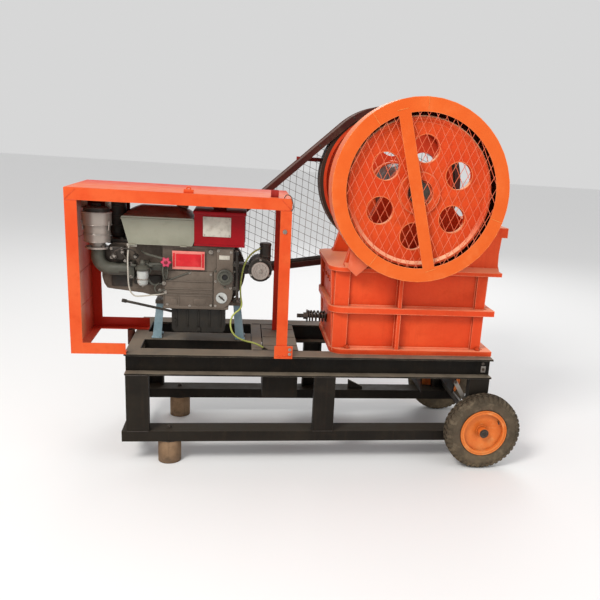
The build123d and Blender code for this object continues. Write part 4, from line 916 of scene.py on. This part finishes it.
# small latch tab and lifting lug on the roof, hook of wire at the corner
add_box(bm, (633, 36, 1260), (667, 42, 1292), 2)
add_box(bm, (633, 42, 1260), (667, 66, 1265), 1.5)
piece("roof_latch", bm, "red_bar", "machine")
bm = new()
add_box(bm, (262, 12, 1259), (304, 17, 1276), 1.5)
ring = [(8 + 3 * math.cos(u), 3 * math.sin(u)) for u in [2 * math.pi * j / 8 for j in range(8)]]
add_lathe(bm, ring, (283, 14.5, 1278), (0, 1, 0), 24, closed=True)
piece("roof_lug", bm, "cage", "machine")
bm = new()
add_tube(bm, smooth_pts([(690, 8, 1261), (700, 4, 1276), (718, -2, 1270), (728, -3, 1240), (729, -3, 1218), (722, -3, 1208)], 6), 2.0, 8)
piece("cage_hook", bm, "bolt_dark", "machine")
# raised edge strip inside the side sheet and a fold across it
bm = new()
for z in (700, 860, 1020):
    add_tube(bm, [(-212.5, 20 + 42.8 * i, z) for i in range(11)], 2.2, 8)
add_box(bm, (-214.5, 30, 588), (-206.5, 36, 1200), 1)
piece("sheet_folds", bm, "cage_in", "machine")

# ------------------------------------------------------------------ engine details
bm = new()
# gear cover with its rounded lower corner
cov = [(401, 1011), (473, 1011), (473, 800), (470, 782), (462, 762), (450, 746), (436, 736), (388, 732), (388, 903), (401, 921)]
add_plate(bm, cov, 111, 121, 1.6)
# side cover with ribs
add_plate(bm, [(168, 734), (383, 734), (383, 902), (168, 902)], 115, 121, 1.6)
for z in (856, 820, 803.5, 790):
    add_box(bm, (172, 111, z - 2.2), (378, 116, z + 2.2), 1.2)
for x in (232, 318):
    add_box(bm, (x - 2, 112.5, 740), (x + 2, 116, 786), 1)
add_box(bm, (196, 112, 748), (224, 116, 772), 2)
add_box(bm, (300, 112, 748), (352, 116, 776), 2)
# top deck of the crankcase and its lip
add_box(bm, (160, 116, 1006), (478, 362, 1019), 2.5)
add_box(bm, (160, 114, 726), (455, 124, 738), 2)
# rear covers
add_plate(bm, [(190, 750), (440, 750), (440, 980), (190, 980)], 358, 366, 2)
piece("engine_covers", bm, "cast", "machine")
bm = new()
add_tube(bm, [(184, 112.5, 858), (281, 112.5, 898)], 2.6, 8)
add_tube(bm, smooth_pts([(168, 110, 858), (176, 105, 880), (172, 104, 905), (178, 104, 930)], 6), 4.5, 8)
add_tube(bm, smooth_pts([(160, 112, 842), (120, 104, 838), (98, 100, 872), (110, 98, 905), (100, 96, 915)], 6), 4.0, 8)
add_tube(bm, smooth_pts([(168, 112, 815), (138, 100, 802), (128, 96, 826), (146, 104, 846)], 6), 3.4, 8)
piece("engine_links", bm, "elbow", "machine")
bm = new()
# starting-handle ring
add_lathe(bm, [(36, 6), (36, 18), (33, 20), (29, 20), (27, 16), (22, 16), (20, 19), (14, 19), (13, 14), (13, 0)], (438, 112, 883), (0, -1, 0), 56)
for i in range(3):
    a = math.radians(30 + 120 * i)
    add_bolt(bm, (438 + 50 * math.cos(a), 111, 883 + 50 * math.sin(a)), (0, -1, 0), 5.5, washer=False)
piece("crank_ring", bm, "elbow", "machine")
# painted shade: black disc filling the bore of the starting-handle ring and a small black block at the top right of the
# engine, standing in for shaded recesses
bm = new()
add_lathe(bm, [(0, 0.8), (13, 0.8), (13, -1), (0, -1)], (438, 100, 883), (0, -1, 0), 32)
add_box(bm, (485, 101, 985), (500, 112, 1002), 2)
piece("crank_hole", bm, "black", "machine")
bm = new()
add_lathe(bm, [(0, 0), (26, 0), (26, 4), (23.5, 6), (8, 6), (6, 4.4), (0, 4.4)], (424, 112, 783), (0, -1, 0), 40)
piece("oil_cap", bm, "bowl", "machine")
bm = new()
add_box(bm, (420.5, 104.5, 766), (427.5, 108, 800), 0.8, Matrix.Rotation(math.radians(-50), 4, "Y"))
piece("oil_cap_slot", bm, "bolt_dark", "machine")
bm = new()
add_box(bm, (411, 109.4, 962), (458, 111.6, 981), 0.5)
add_box(bm, (339, 97.4, 1066), (462, 100.6, 1154), 0.8)
add_box(bm, (10, 104, 1006), (52, 112, 1019), 1)
piece("blank_plates", bm, "plate", "machine")
bm = new()
for x, z in ((346, 1073), (455, 1073), (346, 1147), (455, 1147)):
    add_lathe(bm, [(0, 1.8), (2, 1.5), (3, 0), (0, -0.5)], (x, 97.2, z), (0, -1, 0), 12)
for x, z, d in ((374, 994, 9), (166, 843, 8), (172, 802, 8), (148, 810, 7), (492, 999, 6)):
    add_bolt(bm, (x, 113 if x < 170 else 115, z), (0, -1, 0), d)
for x, z in ((180, 890), (375, 890), (375, 745), (180, 745), (280, 895), (280, 741), (396, 745), (464, 996), (408, 1000), (464, 830), (396, 860)):
    add_bolt(bm, (x, 111.3 if x > 388 else 115, z), (0, -1, 0), 5)
for x, z in ((200, 760), (430, 760), (200, 970), (430, 970), (315, 760), (315, 970)):
    add_bolt(bm, (x, 366, z), (0, 1, 0), 7)
# studs on the head and on the neck of the air cleaner
for y in (195, 255, 315):
    for z in (830, 890, 985):
        add_bolt(bm, (-97 if 830 < z < 980 else -80, y, z), (-1, 0, 0), 8)
for a in range(4):
    t = math.radians(45 + 90 * a)
    add_bolt(bm, (-120 + 40 * math.cos(t), 140 + 40 * math.sin(t), 998), (0, 0, 1), 5.5)
for (x, y, z) in ((146, 275, 728), (146, 355, 728), (492, 275, 728), (492, 355, 728)):
    add_bolt(bm, (x, y, z), (0, 0, 1), 9, stud=True)
piece("engine_bolts", bm, "bolt", "machine")
bm = new()
# red plate on a spacer, with its pale border
add_box(bm, (204, 106, 911.5), (347, 112, 995), 1)
add_box(bm, (230, 112, 930), (322, 121, 980), 1)
piece("front_plate_border", bm, "pink", "machine")
bm = new()
add_box(bm, (220, 103.6, 925), (331, 106.5, 982), 1)
for x in (211.5, 339.5):
    add_box(bm, (x - 4.5, 104.4, 922), (x + 4.5, 106.4, 985), 0.8)
piece("front_plate", bm, "red", "machine")
bm = new()
# star knob on its stem
o = P(179, 88, 945)
vsf, vsb, vm = [], [], []
for k in range(60):
    a = 2 * math.pi * k / 60
    r = (20.5 + 3.6 * math.cos(6 * a)) / 1000
    vsf.append(bm.verts.new(o + Vector((r * 0.86 * math.cos(a), -0.010, r * 0.86 * math.sin(a)))))
    vm.append(bm.verts.new(o + Vector((r * math.cos(a), -0.004, r * math.sin(a)))))
    vsb.append(bm.verts.new(o + Vector((r * 0.92 * math.cos(a), 0.008, r * 0.92 * math.sin(a)))))
for k in range(60):
    k2 = (k + 1) % 60
    bm.faces.new((vsf[k], vsf[k2], vm[k2], vm[k]))
    bm.faces.new((vm[k], vm[k2], vsb[k2], vsb[k]))
bm.faces.new(vsf)
bm.faces.new(vsb[::-1])
piece("star_knob", bm, "knob", "machine")
bm = new()
add_lathe(bm, [(0, 2.5), (7, 2), (9.5, 0), (9.5, -2), (0, -2)], (179, 78.5, 945), (0, -1, 0), 28)
add_cyl(bm, (179, 94, 945), (179, 122, 945), 8, 20, 1)
piece("knob_cap", bm, "knob_c", "machine")
bm = new()
add_tube(bm, smooth_pts([(70, 130, 985), (93, 96, 978), (125, 92, 970), (160, 92, 961), (176, 100, 958)], 6), 5.0, 10)
add_tube(bm, smooth_pts([(84, 104, 921), (110, 96, 930), (144, 92, 935), (172, 98, 934)], 6), 5.0, 10)
add_tube(bm, smooth_pts([(166, 100, 925), (164, 96, 898), (168, 102, 868)], 6), 4.2, 10)
add_tube(bm, smooth_pts([(182, 100, 925), (184, 96, 898), (180, 102, 868)], 6), 3.4, 10)
piece("control_rods", bm, "elbow", "machine")
bm = new()
add_tube(bm, smooth_pts([(20, 128, 1019), (18, 88, 992), (16, 80, 950), (16, 80, 905), (17, 80, 850), (23, 80, 814),
                         (34, 80, 795), (52, 80, 787), (90, 82, 790), (143, 90, 795), (168, 114, 796)], 8), 3.4, 8)
piece("fuel_pipe", bm, "plate", "machine")
bm = new()
add_tube(bm, smooth_pts([(-24, 158, 748), (40, 158, 735), (120, 160, 718), (160, 162, 709), (198, 164, 700)], 5), 6.0, 10)
add_lathe(bm, [(0, -3), (7.5, -2), (8.5, 2), (8.5, 18), (6, 22), (0, 22)], (-24, 158, 748), (1, 0, -0.2), 20)
# upright pipe on the right of the block, with brackets
add_tube(bm, smooth_pts([(474, 132, 1004), (488, 118, 1000), (491, 110, 980), (492, 110, 900), (493, 110, 820), (493, 112, 786), (480, 124, 770)], 8), 7.0, 12)
for z in (830, 940):
    add_box(bm, (474, 106, z - 8), (500, 122, z + 8), 2)
piece("side_pipe", bm, "dark", "machine")
bm = new()
# filter: bracket, cap with its rim and drain screw
add_box(bm, (70, 96, 918), (100, 172, 936), 2.5)
add_box(bm, (84, 120, 900), (170, 134, 934), 3)
add_lathe(bm, [(0, 0), (27, 0), (30, 2), (32, 6), (32, 12), (28, 15), (22, 22), (12, 25), (12, 36), (9, 40), (0, 40)], (77, 92, 904), (0, 0, 1), 48)
add_bolt(bm, (77, 92, 944), (0, 0, 1), 8)
add_cyl(bm, (50, 92, 924), (28, 92, 926), 6, 14, 1)
add_cyl(bm, (104, 92, 924), (122, 92, 926), 6, 14, 1)
fcap = piece("filter_cap", bm, "elbow", "machine")
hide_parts("fuel_filter")
bm = new()
add_lathe(bm, [(0, 0), (8, 0), (16, 3), (21.5, 9), (24, 18), (24.6, 40), (24.6, 66), (22, 70), (0, 70)], (77, 92, 834), (0, 0, 1), 48)
piece("filter_bowl", bm, "bowl", "machine")
bm = new()
add_lathe(bm, [(25.2, 0), (26.4, 1), (26.4, 5), (25.2, 6)], (77, 92, 862), (0, 0, 1), 40, closed=True)
add_lathe(bm, [(0, -6), (4, -6), (6, -3), (6, 1), (0, 1)], (77, 92, 834), (0, 0, 1), 16)
piece("filter_band", bm, "bolt", "machine")
bm = new()
# head: valve cover, injector, push-rod tubes, dark fittings round the intake
add_box(bm, (-92, 186, 1004), (40, 322, 1024), 6)
add_box(bm, (-60, 118, 944), (-6, 172, 1000), 5)
add_box(bm, (-30, 112, 884), (30, 172, 900), 3)
add_cyl(bm, (-44, 140, 952), (-44, 100, 962), 13, 20, 2)
add_cyl(bm, (-10, 150, 975), (-10, 108, 978), 10, 20, 2)
add_cyl(bm, (44, 140, 960), (44, 112, 960), 12, 20, 2)
add_box(bm, (-70, 164, 812), (20, 176, 870), 6)
add_box(bm, (30, 162, 824), (150, 174, 868), 4)
for i in range(5):
    add_box(bm, (-96, 176 + i * 34, 836), (-90, 184 + i * 34, 976), 2)
add_tube(bm, smooth_pts([(-44, 104, 960), (-36, 88, 985), (0, 84, 1000), (40, 92, 990), (48, 112, 962)], 6), 3.2, 8)
add_tube(bm, smooth_pts([(-10, 106, 977), (6, 90, 955), (20, 96, 930), (12, 130, 905)], 6), 3.6, 8)
piece("head_fittings", bm, "dark", "machine")
bm = new()
for (x, y, z) in ((-44, 98, 962), (-10, 106, 978), (44, 110, 960), (-58, 116, 992), (-14, 116, 992), (-58, 116, 952), (0, 112, 940)):
    add_bolt(bm, (x, y, z), (0, -1, 0), 6)
for x in (-70, -26, 18):
    for y in (205, 303):
        add_bolt(bm, (x, y, 1024), (0, 0, 1), 7)
for (x, z) in ((20, 928), (20, 870)):
    add_bolt(bm, (x + 5, 106, z), (0, -1, 0), 7)
piece("head_bolts", bm, "bolt", "machine")
bm = new()
# air cleaner: rolled lips, clips and wing nut
for r, z in ((56.5, 1020), (64, 1094), (64, 1148), (57, 1052), (57.3, 1056)):
    ring = [(r + 1.6 * math.cos(u), 1.6 * math.sin(u)) for u in [2 * math.pi * i / 8 for i in range(8)]]
    add_lathe(bm, ring, (-120, 140, z), (0, 0, 1), 72, closed=True)
for a in (210, 330, 90):
    t = math.radians(a)
    add_cyl(bm, (-120 + 61 * math.cos(t), 140 + 61 * math.sin(t), 1072), (-120 + 66 * math.cos(t), 140 + 66 * math.sin(t), 1112), 3.5, 12, 0.8)
add_lathe(bm, [(34, 0), (52, 0), (52, 8), (34, 8)], (-120, 140, 988), (0, 0, 1), 48, closed=True)
piece("cleaner_lips", bm, "cleaner", "machine")
bm = new()
add_lathe(bm, [(0, 0), (52.5, 0), (55, 3), (54, 12), (47, 18), (12, 20), (10, 26), (0, 26)], (-120, 140, 1152), (0, 0, 1), 64)
add_box(bm, (-140, 137, 1172), (-100, 143, 1184), 2)
for i in range(14):
    t = 2 * math.pi * i / 14
    add_box(bm, (-122 + 43 * math.cos(t), 138 + 43 * math.sin(t), 1166), (-118 + 43 * math.cos(t), 142 + 43 * math.sin(t), 1173), 1)
piece("cleaner_cap", bm, "dark", "machine")
bm = new()
# muffler: ribs, clamp and a short pipe on top
for z in (1038, 1080, 1122, 1164):
    ring = [(44 + 2 * math.cos(u), 2 * math.sin(u)) for u in [2 * math.pi * i / 8 for i in range(8)]]
    add_lathe(bm, ring, (-60, 290, z), (0, 0, 1), 56, closed=True)
add_lathe(bm, [(25, 0), (31, 0), (31, 14), (25, 14)], (-50, 290, 1012), (0, 0, 1), 40, closed=True)
add_cyl(bm, (-60, 290, 1194), (-60, 290, 1214), 20, 28, 1.5)
piece("muffler_ribs", bm, "dark", "machine")
bm = new()
# heat shield that stands behind the air cleaner, round the muffler
add_plate(bm, [(-206, 1150), (-8, 1150), (-8, 1206), (-206, 1206)], 346, 349, 0.8)
add_plate(bm, [(-24, 1030), (-8, 1030), (-8, 1206), (-24, 1206)], 343, 346, 0.8)
for x in (-196, -104, -14):
    add_box(bm, (x - 6, 349, 1190), (x + 6, 462, 1194), 0.8)
piece("heat_shield", bm, "shield", "machine")
bm = new()
# two pale straps from the roof that hold the cleaner
for x in (-181, -80):
    add_box(bm, (x - 13, 196, 1158), (x + 13, 199, 1252), 0.8)
    add_box(bm, (x - 13, 176, 1158), (x + 13, 199, 1161), 0.8)
    add_bolt(bm, (x, 196, 1176), (0, -1, 0), 6)
piece("cleaner_straps", bm, "plate", "machine")
bm = new()
# casting under the cylinder that joins the crankcase
add_plate(bm, [(-112, 870), (-112, 853), (-104, 822), (-91, 801), (-60, 796), (-37, 794), (27, 786), (66, 782), (113, 770), (160, 764), (160, 870)], 171, 330, 7)
piece("head_skirt", bm, "cast", "machine")
bm = new()
# open pipe stub welded to the end of the chassis
add_lathe(bm, [(13, 0), (18, 0), (18, 76), (17, 77), (14, 77), (13, 76)], (-19, 368, 476), (0, 0, 1), 40, closed=True)
add_lathe(bm, [(0, 10), (13.5, 10), (13.5, 14), (0, 14)], (-19, 368, 476), (0, 0, 1), 32)
for z in (480, 534):
    add_weld(bm, (-3, 358, z), (-3, 378, z), 2.4)
piece("pipe_stub", bm, "stub", "machine")
bm = new()
# tank: pressed seam, strap feet, filler neck with its cap
add_box(bm, (-13, 97.5, 1128), (301, 352.5, 1133), 1.5)
add_box(bm, (20, 96, 1014), (48, 354, 1019.5), 1.5)
add_box(bm, (240, 96, 1014), (268, 354, 1019.5), 1.5)
# domed top of the tank, highest towards the rear
NX, NY = 28, 16
rows = []
for j in range(NY + 1):
    row = []
    for i in range(NX + 1):
        u, v = i / NX, j / NY
        hx_ = min(1.0, 5.0 * min(u, 1 - u)) ** 0.6 if 0 < u < 1 else 0.0
        hy_ = min(1.0, 1.5 * v) ** 0.8 * (min(1.0, 9 * (1 - v)) ** 0.5 if v < 1 else 0.0)
        row.append(bm.verts.new(P(-8 + 300 * u, 108 + 238 * v, 1140.5 + 33 * hx_ * hy_)))
    rows.append(row)
base = [[bm.verts.new(v.co - Vector((0, 0, v.co.z - 1.139))) for v in row] for row in rows]
for j in range(NY):
    for i in range(NX):
        bm.faces.new((rows[j][i], rows[j][i + 1], rows[j + 1][i + 1], rows[j + 1][i]))
        bm.faces.new((base[j][i], base[j + 1][i], base[j + 1][i + 1], base[j][i + 1]))
rim_t = rows[0] + [r[-1] for r in rows[1:]] + rows[-1][-2::-1] + [r[0] for r in rows[-2:0:-1]]
rim_b = base[0] + [r[-1] for r in base[1:]] + base[-1][-2::-1] + [r[0] for r in base[-2:0:-1]]
for k in range(len(rim_t)):
    k2 = (k + 1) % len(rim_t)
    bm.faces.new((rim_t[k], rim_b[k], rim_b[k2], rim_t[k2]))
add_lathe(bm, [(0, 0), (26, 0), (26, 8), (29, 9), (29, 20), (26, 23), (0, 23)], (236, 300, 1168), (0, 0, 1), 48)
piece("tank_fittings", bm, "tank", "machine")
bm = new()
# radiator: header, filler cap, louvres on the end and the fins on the rear
add_box(bm, (296, 96, 1163), (530, 334, 1178), 4)
add_lathe(bm, [(0, 0), (30, 0), (30, 8), (34, 9), (34, 20), (28, 25), (0, 26)], (410, 215, 1177), (0, 0, 1), 40)
add_box(bm, (299, 97.5, 1022), (525, 332, 1030), 2)
for i in range(9):
    z = 1044 + i * 13
    add_box(bm, (521.5, 125, z), (527, 305, z + 4), 1.2, Matrix.Rotation(math.radians(25), 4, "Y"))
piece("radiator_header", bm, "radiator", "machine")
bm = new()
for i in range(30):
    x = 312 + i * 6.9
    add_box(bm, (x, 328.5, 1040), (x + 1.6, 333.5, 1156), 0)
for i in range(5):
    z = 1052 + i * 24
    add_box(bm, (308, 330, z), (516, 334.5, z + 3), 0)
piece("radiator_core", bm, "dark", "machine")
bm = new()
# sump: drain plug, flange, ribs
add_box(bm, (190, 144, 716), (446, 261, 729), 3)
for i in range(5):
    x = 214 + i * 50
    add_box(bm, (x, 146, 632), (x + 8, 152, 716), 2)
add_bolt(bm, (318, 150, 622), (0, -1, 0), 12)
add_bolt(bm, (212, 146, 664), (0, -1, 0), 7)
piece("sump_ribs", bm, "sump", "machine")
bm = new()
# generator: face plate, slots, terminal cap, drive pulley behind it
add_lathe(bm, [(0, 3), (10, 3), (12, 1), (30, 1), (33, 3), (39, 3), (41, 1), (41, -2), (0, -2)], (598, 118, 914), (0, -1, 0), 56)
for i in range(10):
    a = 2 * math.pi * i / 10
    add_box(bm, (598 + 25 * math.cos(a) - 2, 114.6, 914 + 25 * math.sin(a) - 5), (598 + 25 * math.cos(a) + 2, 117, 914 + 25 * math.sin(a) + 5), 0.8)
piece("generator_face", bm, "cleaner", "machine")
bm = new()
for i in range(18):
    a = 2 * math.pi * i / 18
    r = 54.0
    q = Matrix.Rotation(-a, 4, "Y")
    c = (598 + r * math.cos(a), 215, 914 + r * math.sin(a))
    add_box(bm, (c[0] - 2.5, 150, c[2] - 3), (c[0] + 2.5, 280, c[2] + 3), 1, q)
add_lathe(bm, [(0, 0), (26.5, 0), (28, 2), (28, 10), (24, 14), (0, 14)], (622, 215, 1018), (0, 0, 1), 40)
add_lathe(bm, [(27, 0), (28.2, 1), (28.2, 5), (27, 6)], (622, 215, 968), (0, 0, 1), 40, closed=True)
add_lathe(bm, [(0, 0), (40, 0), (42, 3), (36, 9), (36, 13), (42, 19), (40, 22), (0, 22)], (598, 290, 914), (0, 1, 0), 48)
piece("generator_fins", bm, "dark", "machine")
bm = new()
for i in range(3):
    a = math.radians(90 + 120 * i)
    add_bolt(bm, (598 + 47 * math.cos(a), 140, 914 + 47 * math.sin(a)), (0, -1, 0), 5)
add_bolt(bm, (598, 115.2, 914), (0, -1, 0), 8)
piece("generator_bolts", bm, "bolt", "machine")
bm = new()
# engine flywheel: rim groove and bolts, pulley clamp nut
for i in range(8):
    a = 2 * math.pi * i / 8
    add_bolt(bm, (335 + 45 * math.cos(a), 464, 860 + 45 * math.sin(a)), (0, 1, 0), 8, washer=False)
ring = [(170 + 4 * math.cos(u), 444 + 3 * math.sin(u)) for u in [2 * math.pi * i / 8 for i in range(8)]]
add_lathe(bm, ring, (335, 0, 860), (0, 1, 0), 80, closed=True)
ring = [(90 + 4 * math.cos(u), 444 + 3 * math.sin(u)) for u in [2 * math.pi * i / 8 for i in range(8)]]
add_lathe(bm, ring, (335, 0, 860), (0, 1, 0), 64, closed=True)
add_lathe(bm, [(0, 0), (25, 0), (34, 0), (34, 3), (24, 4), (0, 5)], (335, 769, 860), (0, 1, 0), 32)
piece("engine_flywheel_trim", bm, "dark", "engine_rotor")
bm = new()
for x in (95, 493):
    add_box(bm, (x - 6, 266, 538), (x + 42, 300, 545), 1.5)
    add_box(bm, (x - 6, 340, 538), (x + 42, 370, 545), 1.5)
piece("leg_feet", bm, "leg", "machine")
bm = new()
for x in (116, 510):
    for y in (284, 356):
        add_bolt(bm, (x + 2, y, 545), (0, 0, 1), 8, stud=True)
piece("leg_bolts", bm, "bolt_dark", "machine")

# ------------------------------------------------------------------ chassis details
bm = new()
for x0 in (4, 863, 1628):
    for y, s in ((-0.5, -1), (677.5, 1)):
        add_weld(bm, (x0 + 2, y, 438), (x0 + 98, y, 438), 2.6)
        add_weld(bm, (x0 + 2, y, 165), (x0 + 98, y, 165), 2.6)
for y in (100, 577):
    s = 1 if y == 100 else -1
    add_weld(bm, (61, y, 537.5), (61, y + s * 0.1 + 146 * (1 if s > 0 else -1), 537.5), 2.2)
    add_weld(bm, (573, y, 538), (617, y, 538), 2.4)
    add_weld(bm, (622, y, 538), (788, y, 538), 2.2)
for x in (0, 1737):
    for z in (440, 470, 500, 530):
        add_weld(bm, (x, 92, z - 12), (x, 108, z - 10), 2.0)
        add_weld(bm, (x, 569, z - 12), (x, 585, z - 10), 2.0)
add_weld(bm, (567, 246, 538), (567, 384, 538), 2.4)
for y in (50, 627):
    for i in range(12):
        a = 2 * math.pi * i / 12
        add_weld(bm, (192 + 54 * math.cos(a), y + 54 * math.sin(a), 113), (192 + 54 * math.cos(a + 0.5), y + 54 * math.sin(a + 0.5), 113), 2.2)
piece("frame_welds", bm, "weld", "machine")
bm = new()
add_box(bm, (1676, -4, 474), (1699, 0.5, 506), 1.2)
piece("frame_tabs", bm, "zinc", "machine")
bm = new()
add_bolt(bm, (1684, 0, 517), (0, -1, 0), 7)
add_bolt(bm, (1687, -4, 490), (0, -1, 0), 7)
for y in (50, 627):
    add_bolt(bm, (192, y, 165), (0, 0, 1), 12, stud=True)
add_bolt(bm, (1553, -5, 424), (0, -1, 0), 8)
add_bolt(bm, (1553, 682, 424), (0, 1, 0), 8)
piece("frame_bolts", bm, "bolt_dark", "machine")
# ribs of the deck: thin raised lines between the plates
bm = new()
for y in (180, 330, 480):
    add_box(bm, (624, y, 537.5), (786, y + 4, 540), 0.8)
add_plate(bm, [(1120, 164.6), (1204, 164.6), (1204, 180), (1120, 222)], 596, 604, 1)
piece("deck_strips", bm, "frame", "machine")

# ------------------------------------------------------------------ floor, light
me = bpy.data.meshes.new("floor")
bmf = bmesh.new()
bmesh.ops.create_grid(bmf, x_segments=8, y_segments=8, size=30)
bmf.to_mesh(me)
bmf.free()
floor = bpy.data.objects.new("floor", me)
SC.collection.objects.link(floor)
fm = bpy.data.materials.new("floor_pale")
fm.use_nodes = True
fb = fm.node_tree.nodes["Principled BSDF"]
fb.inputs["Base Color"].default_value = (0.86, 0.86, 0.86, 1)
fb.inputs["Roughness"].default_value = 0.85
me.materials.append(fm)

w = bpy.data.worlds.new("studio")
SC.world = w
w.use_nodes = True
w.node_tree.nodes["Background"].inputs["Color"].default_value = (1, 1, 1, 1)
w.node_tree.nodes["Background"].inputs["Strength"].default_value = 0.68


def area(name, loc, target, size, power, col=(1, 1, 1)):
    ld = bpy.data.lights.new(name, "AREA")
    ld.shape = "DISK"
    ld.size = size
    ld.energy = power
    ld.color = col
    lo = bpy.data.objects.new(name, ld)
    SC.collection.objects.link(lo)
    lo.location = loc
    lo.rotation_mode = "QUATERNION"
    lo.rotation_quaternion = (Vector(target) - Vector(loc)).to_track_quat("-Z", "Y")
    return lo


area("key", (-3.2, -4.2, 5.2), (0, 0, 0.7), 2.2, 300, (1.0, 0.97, 0.93))
area("fill", (4.5, -4.0, 2.6), (0, 0, 0.7), 3.5, 50, (0.95, 0.98, 1.0))
area("rim", (1.5, 5.0, 4.0), (0, 0, 0.8), 3.5, 80)
